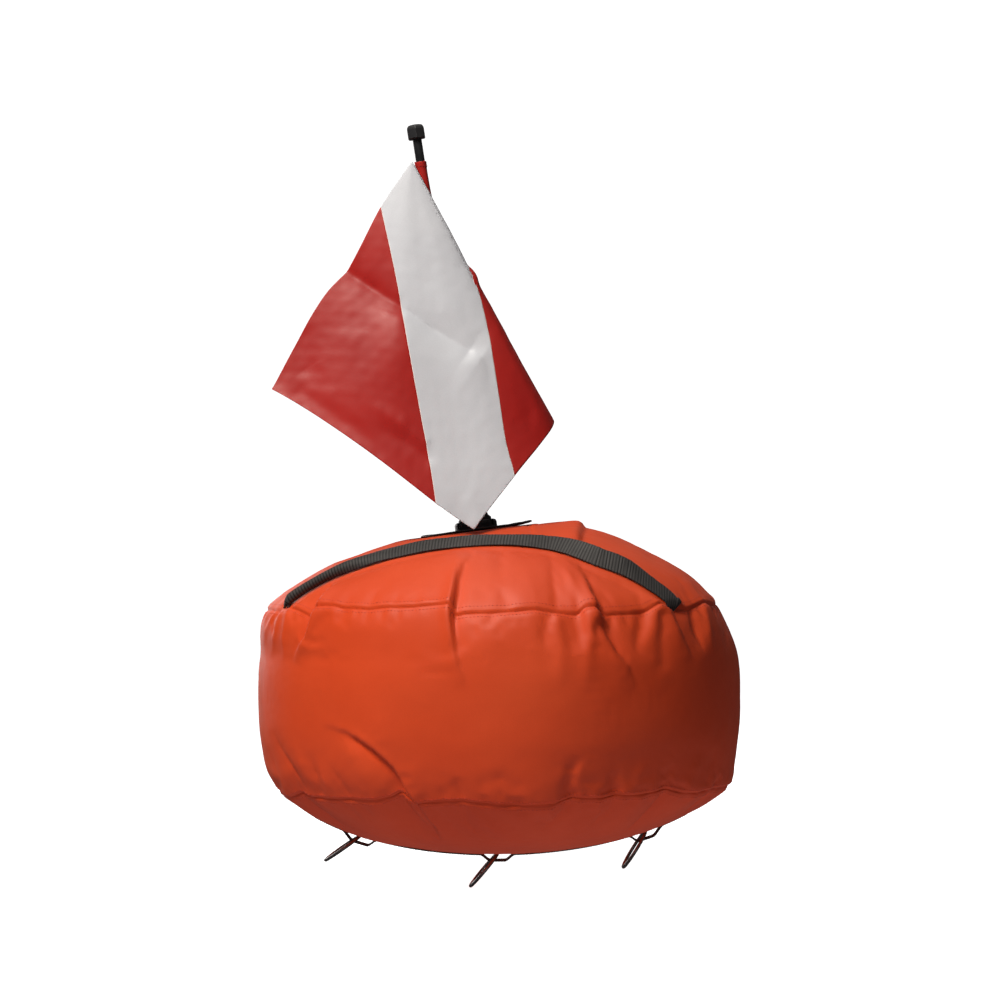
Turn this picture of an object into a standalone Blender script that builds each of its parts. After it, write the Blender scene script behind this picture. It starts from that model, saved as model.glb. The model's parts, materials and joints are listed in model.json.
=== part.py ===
"""Inflatable round marker float with a flag on a short mast.

Units are metres, +Z is up, +X is to the right of the front view and +Y points
to the rear.  The vertical axis of the body is at X = 0, Y = 0 and the lowest
point of the middle ring is at Z = 0.
"""
import math

import bmesh
import bpy
import numpy as np
from mathutils import Matrix, Vector

# ----------------------------------------------------------------- dimensions
R_SEAM = 0.3265          # radius of both circular seams
BULGE = 0.0239           # how far the side band swells beyond the seams
BAND_H = 0.2657          # height of the side band
BELLY = 0.0860           # depth of the bottom panel below its seam
BELLY_TIP = 0.0030       # extra depth right at the middle of the belly
DOME_H = 0.1183          # height the top panel would have without the patch
DOME_FLAT = 0.1088       # height at which the stiff patch flattens it
DOME_BLEND = 0.0040
SHELL = 0.0018           # coated fabric with its lining
GAP = 0.0003             # clearance between touching pieces
SEGMENTS = 48
AIR_SEGMENTS = 32

RING_R = 0.0305          # centre line radius of the steel rings
RING_WIRE = 0.0025       # wire radius
RING_DROP = 0.0034       # hinge axis below the strap's own line
STRAP_W = 0.030
STRAP_T = 0.0016
STRAP_LOOSE = 0.0030     # slack of the bottom strap at the middle
TUNNEL = 0.0115          # clear height of the loops that hold the rings
RINGS = (                # name, x of the hinge, lean towards -X in degrees
    ("ring_left", -0.2060, 56.0),
    ("ring_center", -0.0060, 41.0),
    ("ring_right", 0.2100, 33.0),
)

Z_BELLY = (
    RING_R * 2 * math.cos(math.radians(41.0))
    + RING_WIRE
    + RING_DROP
    + STRAP_LOOSE
    + BELLY_TIP
)
Z_SEAM_LO = Z_BELLY + BELLY
Z_SEAM_HI = Z_SEAM_LO + BAND_H
Z_PLATE = Z_SEAM_HI + DOME_FLAT

TOP_SHIFT = -0.0092      # the upper seam sits a little to the left
LOW_SHIFT = 0.0045       # the lower seam a little to the right
APEX_X = -0.0300         # middle of the patch and of the mast foot
PLATE_TILT = 6.8         # the top leans to the left, degrees about Y
MAST_TILT = 7.9

PATCH_R = 0.0825
PATCH_T = 0.0030
FOOT_R = 0.0310
FOOT_H = 0.0120
HUB_H = 0.0440
SCREW_X = 0.0206         # screw places on the foot, from its middle
SCREW_Y = 0.0150

MAST_R = 0.00675
MAST_BORE = 0.00525
MAST_LENGTH = 0.5690
MAST_START = 0.0085      # lower end of the mast above the mast origin
CAP_FLATS = 0.0250       # hexagonal cap, across the flats
CAP_H = 0.0210

FLAG_SIDE = 0.397        # the flag is cut square
STRIPE = 0.0834          # where the white stripe meets the edges, from a corner
FLAG_T = 0.0010
SLEEVE_TOP = 0.5437      # along the mast
SLEEVE_IN = 0.00715
SLEEVE_OUT = 0.00835

VALVE_R = 0.2480         # distance of the valve from the body axis
VALVE_AZ = 90.0
ZIP_Z = 0.3000
ZIP_R = 0.3508
ZIP_HALF = 8             # half the zip's length, in body facets
ZIP_FINE = 3


# -------------------------------------------------------------------- helpers
def clear_scene():
    for obj in list(bpy.data.objects):
        bpy.data.objects.remove(obj, do_unlink=True)
    for mesh in list(bpy.data.meshes):
        bpy.data.meshes.remove(mesh)


MATERIALS = {}


def material(name, colour, rough, metallic=0.0):
    if name not in MATERIALS:
        mat = bpy.data.materials.new(name)
        mat.use_nodes = True
        shader = mat.node_tree.nodes["Principled BSDF"]
        shader.inputs["Base Color"].default_value = (*colour, 1.0)
        shader.inputs["Roughness"].default_value = rough
        shader.inputs["Metallic"].default_value = metallic
        mat.diffuse_color = (*colour, 1.0)
        MATERIALS[name] = mat
    return MATERIALS[name]


def orange():
    return material("orange_fabric", (0.72, 0.10, 0.045), 0.6)


def webbing():
    return material("black_webbing", (0.028, 0.027, 0.026), 0.75)


def rubber():
    return material("black_rubber", (0.02, 0.02, 0.021), 0.55)


def plastic():
    return material("black_plastic", (0.018, 0.018, 0.02), 0.4)


def steel():
    return material("polished_steel", (0.62, 0.61, 0.60), 0.18, 1.0)


def red():
    return material("flag_red", (0.45, 0.018, 0.02), 0.5)


def white():
    return material("flag_white", (0.68, 0.68, 0.69), 0.5)


def finish(name, bm, mat, parent=None, location=(0, 0, 0), smooth=True, merge=None):
    """Turn a bmesh into a named object with outward normals."""
    if merge:
        bmesh.ops.remove_doubles(bm, verts=bm.verts, dist=merge)
    bmesh.ops.recalc_face_normals(bm, faces=bm.faces)
    mesh = bpy.data.meshes.new(name)
    bm.to_mesh(mesh)
    bm.free()
    mesh.materials.append(mat)
    for poly in mesh.polygons:
        poly.use_smooth = smooth
    obj = bpy.data.objects.new(name, mesh)
    bpy.context.scene.collection.objects.link(obj)
    obj.location = location
    if parent is not None:
        obj.parent = parent
    return obj


def empty(name, matrix):
    obj = bpy.data.objects.new(name, None)
    bpy.context.scene.collection.objects.link(obj)
    obj.matrix_world = matrix
    return obj


def loft(bm, rings, close_around=True, cap_start=False, cap_end=False):
    """Faces between successive rings of points; returns the rows of verts."""
    rows = [[bm.verts.new(p) for p in ring] for ring in rings]
    for a, b in zip(rows, rows[1:]):
        count = len(a)
        for i in range(count if close_around else count - 1):
            j = (i + 1) % count
            bm.faces.new((a[i], a[j], b[j], b[i]))
    if cap_start:
        bm.faces.new(rows[0])
    if cap_end:
        bm.faces.new(list(reversed(rows[-1])))
    return rows


def join_rows(bm, a, b, close_around=True):
    count = len(a)
    for i in range(count if close_around else count - 1):
        j = (i + 1) % count
        bm.faces.new((a[i], a[j], b[j], b[i]))


def spun(profile, segments=32):
    """Bmesh of a closed profile of (radius, height) turned about Z."""
    bm = bmesh.new()
    rings = []
    for k in range(segments):
        a = 2 * math.pi * k / segments
        rings.append([(r * math.cos(a), r * math.sin(a), z) for r, z in profile])
    rows = [[bm.verts.new(p) for p in ring] for ring in rings]
    count = len(profile)
    for k in range(segments):
        a, b = rows[k], rows[(k + 1) % segments]
        for i in range(count):
            j = (i + 1) % count
            bm.faces.new((a[i], a[j], b[j], b[i]))
    bmesh.ops.remove_doubles(bm, verts=bm.verts, dist=1e-6)
    bmesh.ops.dissolve_degenerate(bm, edges=bm.edges, dist=1e-7)
    return bm


def cylinder(radius, z0, z1, segments=24, centre=(0.0, 0.0)):
    bm = bmesh.new()
    ring = [
        (
            centre[0] + radius * math.cos(2 * math.pi * k / segments),
            centre[1] + radius * math.sin(2 * math.pi * k / segments),
        )
        for k in range(segments)
    ]
    loft(
        bm,
        [[(x, y, z0) for x, y in ring], [(x, y, z1) for x, y in ring]],
        cap_start=True,
        cap_end=True,
    )
    return bm


def boolean(obj, cutter_bm, operation="DIFFERENCE", matrix=None):
    """Cut or join a bmesh solid with an object and keep the result."""
    bmesh.ops.recalc_face_normals(cutter_bm, faces=cutter_bm.faces)
    mesh = bpy.data.meshes.new("cutter")
    cutter_bm.to_mesh(mesh)
    cutter_bm.free()
    cutter = bpy.data.objects.new("cutter", mesh)
    bpy.context.scene.collection.objects.link(cutter)
    cutter.parent = obj.parent
    if matrix is not None:
        cutter.matrix_local = matrix
    cutter.hide_render = True
    cutter.display_type = "WIRE"
    mod = obj.modifiers.new("cut", "BOOLEAN")
    mod.operation = operation
    mod.solver = "EXACT"
    mod.object = cutter
    bpy.context.view_layer.update()
    graph = bpy.context.evaluated_depsgraph_get()
    result = bpy.data.meshes.new_from_object(obj.evaluated_get(graph))
    obj.modifiers.remove(mod)
    old = obj.data
    obj.data = result
    result.name = obj.name
    bpy.data.meshes.remove(old)
    bpy.data.objects.remove(cutter, do_unlink=True)
    bpy.data.meshes.remove(mesh)


def smoothstep(t):
    t = min(max(t, 0.0), 1.0)
    return t * t * (3 - 2 * t)


# ------------------------------------------------------------ body's surfaces
def dome_point(r, a):
    """Point of the top panel's outer surface at radius r and azimuth a."""
    u = min(r / R_SEAM, 1.0)
    free = DOME_H * max(1 - u**2.1, 0.0) ** 0.8
    near = max(DOME_BLEND - abs(free - DOME_FLAT), 0.0) / DOME_BLEND
    h = min(free, DOME_FLAT) - near * near * DOME_BLEND / 4
    shift = APEX_X + (TOP_SHIFT - APEX_X) * smoothstep((r - 0.10) / (R_SEAM - 0.10))
    tilt = np.interp(r, (0.11, 0.18, 0.22, 0.29, R_SEAM), (PLATE_TILT, 4.8, 2.6, 1.0, 0.0))
    x = r * math.cos(a)
    return Vector(
        (shift + x, r * math.sin(a), Z_SEAM_HI + h + math.tan(math.radians(tilt)) * x)
    )


def band_point(z, a, out=0.0):
    s = (z - (Z_SEAM_LO + BAND_H / 2)) / (BAND_H / 2)
    radius = R_SEAM + BULGE * (1 - min(abs(s), 1.0) ** 2.6) + out
    shift = TOP_SHIFT * smoothstep((z - 0.335) / (Z_SEAM_HI - 0.335))
    shift += LOW_SHIFT * smoothstep((0.175 - z) / (0.175 - Z_SEAM_LO))
    return Vector((shift + radius * math.cos(a), radius * math.sin(a), z))


LOW_RADII = (0.045, 0.09, 0.14, 0.19, 0.24, 0.285, R_SEAM - 0.0017)


def belly_point(r, a):
    shift = LOW_SHIFT * (r / R_SEAM) ** 4
    z = Z_BELLY + BELLY * (r / R_SEAM) ** 3 - BELLY_TIP * math.exp(-((r / 0.09) ** 2))
    return Vector((shift + r * math.cos(a), r * math.sin(a), z))


def normal_of(point, r, a, sign):
    """Outward normal of a surface of revolution-like function."""
    e = 1e-4
    if r < 1e-3:
        du = point(1e-3, 0) - point(1e-3, math.pi)
        dv = point(1e-3, math.pi / 2) - point(1e-3, -math.pi / 2)
        n = du.cross(dv)
    else:
        n = (point(r + e, a) - point(r - e, a)).cross(point(r, a + e) - point(r, a - e))
    n.normalize()
    return n * sign


def shell_disc(name, point, radii, sign, thickness, mat, offset=0.0, segments=SEGMENTS):
    """A dished panel: the outer surface at `offset` inside `point`, and a wall."""
    bm = bmesh.new()
    sides = []
    for depth in (offset, offset + thickness):
        rings = []
        for r in radii:
            ring = []
            for k in range(segments):
                a = 2 * math.pi * k / segments
                ring.append(point(r, a) - normal_of(point, r, a, sign) * depth)
            rings.append(ring)
        rows = loft(bm, rings)
        middle = bm.verts.new(point(0.0, 0.0) - normal_of(point, 0.0, 0.0, sign) * depth)
        for i in range(segments):
            bm.faces.new((rows[0][i], rows[0][(i + 1) % segments], middle))
        sides.append(rows[-1])
    join_rows(bm, sides[0], sides[1])
    return finish(name, bm, mat)


# -------------------------------------------------------------------- build
def build_cover():
    top_radii = (0.050, 0.088, 0.125, 0.165, 0.205, 0.245, 0.280, 0.307, 0.321, R_SEAM - 0.0003)
    top = shell_disc("cover_top_panel", dome_point, top_radii, 1.0, SHELL, orange())

    bm = bmesh.new()
    heights = [
        Z_SEAM_LO + BAND_H * t
        for t in (0.0, 0.07, 0.22, 0.41, 0.59, 0.78, 0.93, 1.0)
    ]
    rings = []
    for z in heights:
        rings.append([band_point(z, 2 * math.pi * k / SEGMENTS) for k in range(SEGMENTS)])
    for z in reversed(heights):
        lo = z == heights[0]
        hi = z == heights[-1]
        zz = z + (0.0008 if lo else 0.0) - (0.0008 if hi else 0.0)
        rings.append(
            [band_point(zz, 2 * math.pi * k / SEGMENTS, -SHELL) for k in range(SEGMENTS)]
        )
    rows = [[bm.verts.new(p) for p in ring] for ring in rings]
    for a, b in zip(rows, rows[1:] + rows[:1]):
        join_rows(bm, a, b)
    finish("cover_side_band", bm, orange())

    shell_disc("cover_bottom_panel", belly_point, LOW_RADII, -1.0, SHELL, orange())
    return top


def bladder_rings():
    """Profile stations of the air bladder, from the top middle to the bottom."""
    gap = SHELL + 0.0035
    stations = []
    for r in (0.07, 0.13, 0.19, 0.25, 0.30):
        ring = []
        for k in range(AIR_SEGMENTS):
            a = 2 * math.pi * k / AIR_SEGMENTS
            drop = 0.0105 - 0.006 * smoothstep((r - 0.10) / 0.06)
            p = dome_point(r, a) - normal_of(dome_point, r, a, 1.0) * gap
            p.z -= drop - 0.0045 * smoothstep((r - 0.10) / 0.06)
            ring.append(p)
        stations.append(ring)
    for z in (Z_SEAM_HI - 0.014, 0.34, 0.275, 0.205, Z_SEAM_LO + 0.012):
        stations.append(
            [
                band_point(z, 2 * math.pi * k / AIR_SEGMENTS, -gap - 0.0025)
                for k in range(AIR_SEGMENTS)
            ]
        )
    for r in (0.29, 0.22, 0.13):
        ring = []
        for k in range(AIR_SEGMENTS):
            a = 2 * math.pi * k / AIR_SEGMENTS
            ring.append(
                belly_point(r, a) - normal_of(belly_point, r, a, -1.0) * (gap + 0.001)
            )
        stations.append(ring)
    return stations


def build_bladder():
    bm = bmesh.new()
    rings = bladder_rings()
    centre = Vector((0.0, 0.0, 0.27))
    for scale in (0.0, 0.0013):
        moved = []
        for ring in rings:
            moved.append([p + (centre - p).normalized() * scale for p in ring])
        rows = loft(bm, moved)
        top = sum(moved[0], Vector()) / AIR_SEGMENTS
        low = sum(moved[-1], Vector()) / AIR_SEGMENTS + Vector((0, 0, -0.0008))
        for row, p in ((rows[0], top), (rows[-1], low)):
            v = bm.verts.new(p)
            for i in range(AIR_SEGMENTS):
                bm.faces.new((row[i], row[(i + 1) % AIR_SEGMENTS], v))
    bmesh.ops.recalc_face_normals(bm, faces=bm.faces)
    # the inner skin faces the air inside, so its normals point to the middle
    bm.verts.index_update()
    half = len(bm.verts) // 2
    inner = [f for f in bm.faces if all(v.index >= half for v in f.verts)]
    outward = sum(
        f.normal.dot(f.calc_center_median() - centre) * f.calc_area() for f in inner
    )
    if outward > 0:
        bmesh.ops.reverse_faces(bm, faces=inner)
    mesh = bpy.data.meshes.new("bladder")
    bm.to_mesh(mesh)
    bm.free()
    mesh.materials.append(material("bladder_film", (0.30, 0.30, 0.31), 0.45))
    for poly in mesh.polygons:
        poly.use_smooth = True
    obj = bpy.data.objects.new("bladder", mesh)
    bpy.context.scene.collection.objects.link(obj)
    return obj


def valve_frame():
    a = math.radians(VALVE_AZ)
    p = dome_point(VALVE_R, a)
    n = normal_of(dome_point, VALVE_R, a, 1.0)
    side = n.orthogonal().normalized()
    up = n.cross(side)
    m = Matrix((side, up, n)).transposed().to_4x4()
    m.translation = p
    return m


def build_valve(top, bladder):
    frame = valve_frame()
    boolean(top, cylinder(0.0118, -0.010, 0.010, 20), matrix=frame)
    boolean(bladder, cylinder(0.0118, -0.030, 0.010, 20), matrix=frame)
    holder = empty("valve_axis", frame)
    profile = [
        (0.0055, 0.0030),
        (0.0190, 0.0030),
        (0.0200, 0.0020),
        (0.0200, 0.0006),
        (0.0112, 0.0006),
        (0.0112, -0.0095),
        (0.0175, -0.0095),
        (0.0175, -0.0113),
        (0.0055, -0.0113),
    ]
    body = finish("valve_body", spun(profile, 24), plastic(), parent=holder)
    cap = [
        (0.0, -0.0060),
        (0.0042, -0.0060),
        (0.0050, -0.0052),
        (0.0050, 0.0034),
        (0.0140, 0.0034),
        (0.0140, 0.0082),
        (0.0130, 0.0092),
        (0.0, 0.0092),
    ]
    finish("valve_cap", spun(cap, 24), plastic(), parent=holder)
    return body


def plate_matrix():
    m = Matrix.Rotation(math.radians(-PLATE_TILT), 4, "Y")
    m.translation = Vector((APEX_X, 0.0, Z_PLATE))
    return m


def mast_matrix():
    m = Matrix.Rotation(math.radians(-MAST_TILT), 4, "Y")
    m.translation = Vector((APEX_X, 0.0, Z_PLATE + GAP + PATCH_T))
    return m


def build_top_fittings(top):
    holder = empty("plate_axis", plate_matrix())
    places = [(sx * SCREW_X, sy * SCREW_Y) for sx in (-1, 1) for sy in (-1, 1)]
    for x, y in places:
        boolean(top, cylinder(0.0024, -0.010, 0.010, 16, (x, y)), matrix=plate_matrix())

    z0 = GAP
    rim = [
        (0.0, z0),
        (PATCH_R, z0),
        (PATCH_R, z0 + PATCH_T * 0.55),
        (PATCH_R - 0.0012, z0 + PATCH_T),
        (0.0, z0 + PATCH_T),
    ]
    patch = finish("mast_patch", spun(rim, 40), rubber(), parent=holder)
    for x, y in places:
        boolean(patch, cylinder(0.0024, -0.010, 0.010, 16, (x, y)))

    base = z0 + PATCH_T + GAP
    lean = math.radians(MAST_TILT - PLATE_TILT)
    foot_profile = [
        (0.0, base),
        (FOOT_R, base),
        (FOOT_R, base + FOOT_H - 0.0040),
        (FOOT_R - 0.0014, base + FOOT_H - 0.0012),
        (FOOT_R - 0.0044, base + FOOT_H),
        (0.0, base + FOOT_H),
    ]
    foot = finish("mast_foot", spun(foot_profile, 36), rubber(), parent=holder)
    hub_profile = [
        (0.0, base + 0.002),
        (0.0246, base + 0.002),
        (0.0240, base + 0.0150),
        (0.0205, base + 0.0185),
        (0.0192, base + 0.0235),
        (0.0145, base + HUB_H - 0.0020),
        (0.0128, base + HUB_H),
        (0.0, base + HUB_H),
    ]
    boolean(
        foot, spun(hub_profile, 36), "UNION", Matrix.Rotation(-lean, 4, "Y")
    )
    # socket for the mast, along the mast's own axis
    local = plate_matrix().inverted() @ mast_matrix()
    boolean(foot, cylinder(MAST_R + GAP, MAST_START - GAP, 0.080, 32), matrix=local)
    for x, y in places:
        boolean(foot, cylinder(0.0058, base + 0.0035, 0.060, 24, (x, y)))
        boolean(foot, cylinder(0.0024, -0.010, 0.020, 16, (x, y)))

    washer = -SHELL - GAP
    plate = [
        (0.0, washer),
        (0.0400, washer),
        (0.0400, washer - 0.0020),
        (0.0, washer - 0.0020),
    ]
    backing = finish(
        "backing_plate", spun(plate, 24), material("grey_plastic", (0.25, 0.25, 0.26), 0.5),
        parent=holder,
    )
    for i, (x, y) in enumerate(places, 1):
        boolean(backing, cylinder(0.0024, -0.020, 0.010, 16, (x, y)))
        head = base + 0.0035 + GAP
        screw = [
            (0.0, head + 0.0024),
            (0.0022, head + 0.0024),
            (0.0036, head + 0.0014),
            (0.0040, head),
            (0.0020, head),
            (0.0020, washer - 0.0020 - 0.0042),
            (0.0, washer - 0.0020 - 0.0042),
        ]
        finish(f"foot_screw_{i}", spun(screw, 16), steel(), parent=holder, location=(x, y, 0))
        nut = bmesh.new()
        top_z, low_z = washer - 0.0020 - GAP, washer - 0.0020 - GAP - 0.0028
        outer = [
            (0.0040 * math.cos(math.pi * k / 3), 0.0040 * math.sin(math.pi * k / 3))
            for k in range(6)
        ]
        dense = []
        for k in range(6):
            ax, ay = outer[k]
            bx, by = outer[(k + 1) % 6]
            for t in (0.0, 0.5):
                dense.append((ax + (bx - ax) * t, ay + (by - ay) * t))
        inner = [
            (0.0023 * math.cos(math.pi * k / 6), 0.0023 * math.sin(math.pi * k / 6))
            for k in range(12)
        ]
        rows = [
            [nut.verts.new((px, py, z)) for px, py in pts]
            for pts, z in ((dense, low_z), (dense, top_z), (inner, top_z), (inner, low_z))
        ]
        for a, b in zip(rows, rows[1:] + rows[:1]):
            join_rows(nut, a, b)
        finish(f"foot_nut_{i}", nut, steel(), parent=holder, location=(x, y, 0), smooth=False)


def build_mast():
    holder = empty("mast_axis", mast_matrix())
    start, end = MAST_START, MAST_START + MAST_LENGTH
    tube = [
        (MAST_BORE, start),
        (MAST_R - 0.0004, start),
        (MAST_R, start + 0.0006),
        (MAST_R, end),
        (MAST_BORE, end),
    ]
    finish("mast_tube", spun(tube, 32), plastic(), parent=holder)

    radius = CAP_FLATS / math.sqrt(3)
    z0 = end + GAP
    bm = bmesh.new()
    levels = (
        (0.90, 0.0),
        (1.0, 0.0012),
        (1.0, CAP_H - 0.0065),
        (0.94, CAP_H - 0.0035),
        (0.78, CAP_H - 0.0010),
        (0.52, CAP_H),
    )
    rings = []
    for scale, h in levels:
        ring = []
        for k in range(6):
            for t in (0.06, 0.5, 0.94):
                a0, a1 = math.pi / 2 + math.pi * k / 3, math.pi / 2 + math.pi * (k + 1) / 3
                x = math.cos(a0) * (1 - t) + math.cos(a1) * t
                y = math.sin(a0) * (1 - t) + math.sin(a1) * t
                ring.append((radius * scale * x, radius * scale * y, z0 + h))
        rings.append(ring)
    loft(bm, rings, cap_start=True, cap_end=True)
    cap = finish("mast_cap", bm, rubber(), parent=holder)
    boolean(cap, cylinder(MAST_BORE - GAP, z0 - 0.018, z0 + 0.004, 32), "UNION")

    low = SLEEVE_TOP - FLAG_SIDE
    ring = []
    for k in range(6):
        a = 2 * math.pi * k / 6
        ring.append((MAST_R + GAP + 0.0016 + 0.0016 * math.cos(a), low - 0.0022 + 0.0016 * math.sin(a)))
    finish("sleeve_stop_ring", spun(ring, 24), rubber(), parent=holder)


# ----------------------------------------------------------------------- flag
FLAG_A = Vector((-0.0085, -0.0105, SLEEVE_TOP))   # in the mast's frame
FLAG_KEYS = (
    # angle in the cut, swing to the right, tilt to the front (degrees)
    (0.0, 7.9, 0.0),
    (12.0, 19.5, 0.6),
    (21.0, 26.4, 1.6),
    (25.5, 27.5, 4.3),
    (30.0, 25.2, 7.8),
    (38.0, 16.6, 11.6),
    (45.0, 8.7, 13.5),
    (60.0, -5.0, 15.8),
    (75.0, -18.4, 15.0),
    (90.0, -30.9, 12.8),
)


def hermite(keys, t):
    """Smooth curve through (t, values...) keys."""
    if t <= keys[0][0]:
        return keys[0][1:]
    if t >= keys[-1][0]:
        return keys[-1][1:]
    i = max(k for k in range(len(keys) - 1) if keys[k][0] <= t)
    out = []
    k0, k1 = keys[i], keys[i + 1]
    h = k1[0] - k0[0]
    s = (t - k0[0]) / h
    for c in range(1, len(k0)):
        def slope(j):
            a = keys[max(j - 1, 0)]
            b = keys[min(j + 1, len(keys) - 1)]
            return (b[c] - a[c]) / (b[0] - a[0])
        m0, m1 = slope(i) * h, slope(i + 1) * h
        out.append(
            (2 * s**3 - 3 * s**2 + 1) * k0[c]
            + (s**3 - 2 * s**2 + s) * m0
            + (-2 * s**3 + 3 * s**2) * k1[c]
            + (s**3 - s**2) * m1
        )
    return out


def flag_direction(theta):
    phi, psi = (math.radians(v) for v in hermite(FLAG_KEYS, theta))
    return Vector(
        (math.sin(phi) * math.cos(psi), -math.sin(psi), -math.cos(phi) * math.cos(psi))
    )


def flag_apex():
    return mast_matrix() @ FLAG_A


def flag_point(theta, rho):
    return flag_apex() + flag_direction(theta) * rho


def flag_panel(name, mat, angles, inner, outer, rows):
    """Closed sheet between two polar boundaries of the flag's cut."""
    apex = flag_apex()
    bm = bmesh.new()
    sides = []
    for sign in (0.5, -0.5):
        rings = []
        for theta in angles:
            d = flag_direction(theta)
            e = 0.05
            n = (flag_direction(theta + e) - flag_direction(theta - e)).cross(d)
            if theta <= e or theta >= 90 - e:
                n = (flag_direction(min(theta + e, 90)) - flag_direction(max(theta - e, 0))).cross(d)
            n.normalize()
            r0, r1 = inner(theta), outer(theta)
            line = []
            for k in range(rows + 1):
                rho = r0 + (r1 - r0) * k / rows
                line.append(apex + d * rho + n * FLAG_T * sign)
            rings.append(line)
        sides.append(loft(bm, rings, close_around=False))
    front, back = sides
    join_rows(bm, front[0], back[0], close_around=False)
    join_rows(bm, front[-1], back[-1], close_around=False)
    join_rows(bm, [row[0] for row in front], [row[0] for row in back], close_around=False)
    join_rows(bm, [row[-1] for row in front], [row[-1] for row in back], close_around=False)
    return finish(name, bm, mat, merge=1e-6)


def spaced(a, b, count):
    return [a + (b - a) * k / count for k in range(count + 1)]


def build_flag():
    holder = empty("flag_axis", mast_matrix())
    low = SLEEVE_TOP - FLAG_SIDE
    sleeve = finish(
        "flag_sleeve",
        spun([(SLEEVE_IN, low), (SLEEVE_OUT, low), (SLEEVE_OUT, SLEEVE_TOP), (SLEEVE_IN, SLEEVE_TOP)], 28),
        red(),
        parent=holder,
    )
    # seam allowance that reaches from the sleeve to the flag
    end = Vector((FLAG_A.x, FLAG_A.y))
    direction = end.normalized()
    side = Vector((-direction.y, direction.x)) * 0.0008
    a = direction * (SLEEVE_OUT - 0.0006)
    b = end - direction * 0.0018
    fin = bmesh.new()
    corners = [a - side, b - side, b + side, a + side]
    loft(
        fin,
        [[(p.x, p.y, low + 0.0006) for p in corners], [(p.x, p.y, SLEEVE_TOP - 0.0006) for p in corners]],
        cap_start=True,
        cap_end=True,
    )
    boolean(sleeve, fin, "UNION")

    half = 0.0003
    c, s = (lambda t: math.cos(math.radians(t))), (lambda t: math.sin(math.radians(t)))
    edge = lambda t: FLAG_SIDE / max(c(t), s(t))
    # angle at which a stripe boundary reaches the far edge of the cut
    reach = math.degrees(math.atan2(FLAG_SIDE - STRIPE, FLAG_SIDE))

    def right_line(t, d):
        return (STRIPE + d) / (c(t) - s(t))

    def left_line(t, d):
        return (STRIPE + d) / (s(t) - c(t))

    def stripe_outer(t):
        best = edge(t)
        if c(t) - s(t) > 1e-6:
            best = min(best, right_line(t, -half))
        if s(t) - c(t) > 1e-6:
            best = min(best, left_line(t, -half))
        return best

    stripe_angles = (
        spaced(0.0, 18.0, 6)
        + spaced(20.0, 32.0, 8)
        + spaced(34.0, reach, 3)
        + [41.5, 45.0, 48.5]
        + spaced(90 - reach, 62.0, 4)
        + spaced(66.0, 90.0, 6)
    )
    flag_panel("flag_stripe", white(), stripe_angles, lambda t: 0.012, stripe_outer, 6)
    lower_angles = spaced(0.0, 18.0, 6) + spaced(20.0, 30.0, 7) + spaced(32.0, reach - 0.35, 3)
    flag_panel(
        "flag_lower_panel", red(), lower_angles, lambda t: right_line(t, half), edge, 5
    )
    upper_angles = spaced(90 - reach + 0.35, 60.0, 4) + spaced(64.0, 90.0, 7)
    flag_panel(
        "flag_upper_panel", red(), upper_angles, lambda t: left_line(t, half), edge, 5
    )


# ------------------------------------------------------------------- webbing
def ribbon(name, centres, widths, normals, width, thickness, mat):
    bm = bmesh.new()
    rings = []
    for p, w, n in zip(centres, widths, normals):
        rings.append(
            [
                p - w * width / 2 - n * thickness / 2,
                p + w * width / 2 - n * thickness / 2,
                p + w * width / 2 + n * thickness / 2,
                p - w * width / 2 + n * thickness / 2,
            ]
        )
    loft(bm, rings, cap_start=True, cap_end=True)
    return finish(name, bm, mat, smooth=False)


HANDLE_TWIST = (
    # x, angle of the webbing's face from level (degrees)
    (-0.283, 58.0),
    (-0.240, 54.0),
    (-0.180, 42.0),
    (-0.100, 32.0),
    (0.000, 28.0),
    (0.080, 39.0),
    (0.130, 56.0),
    (0.180, 57.0),
    (0.205, 46.0),
    (0.230, 41.0),
    (0.250, 38.0),
)
HANDLE_X = (-0.284, 0.236)


def handle_plan(x):
    """Distance of the handle's middle line to the front, over x."""
    return 0.1817 + 0.1073 * x - 0.1743 * x**2 - 0.557 * x**3 + 0.0170 * smoothstep((x - 0.070) / 0.075)


def handle_slope(x):
    return (handle_plan(x + 1e-4) - handle_plan(x - 1e-4)) / 2e-4


def on_dome(x, y):
    """Top panel's surface point and normal under (x, y)."""
    r, a = math.hypot(x - TOP_SHIFT, y), math.atan2(y, x - TOP_SHIFT)
    for _ in range(30):
        p = dome_point(min(r, R_SEAM - 1e-4), a)
        dx, dy = x - p.x, y - p.y
        if math.hypot(dx, dy) < 1e-6:
            break
        px, py = r * math.cos(a) + dx, r * math.sin(a) + dy
        r, a = math.hypot(px, py), math.atan2(py, px)
    r = min(r, R_SEAM - 1e-4)
    return dome_point(r, a), normal_of(dome_point, r, a, 1.0)


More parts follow.
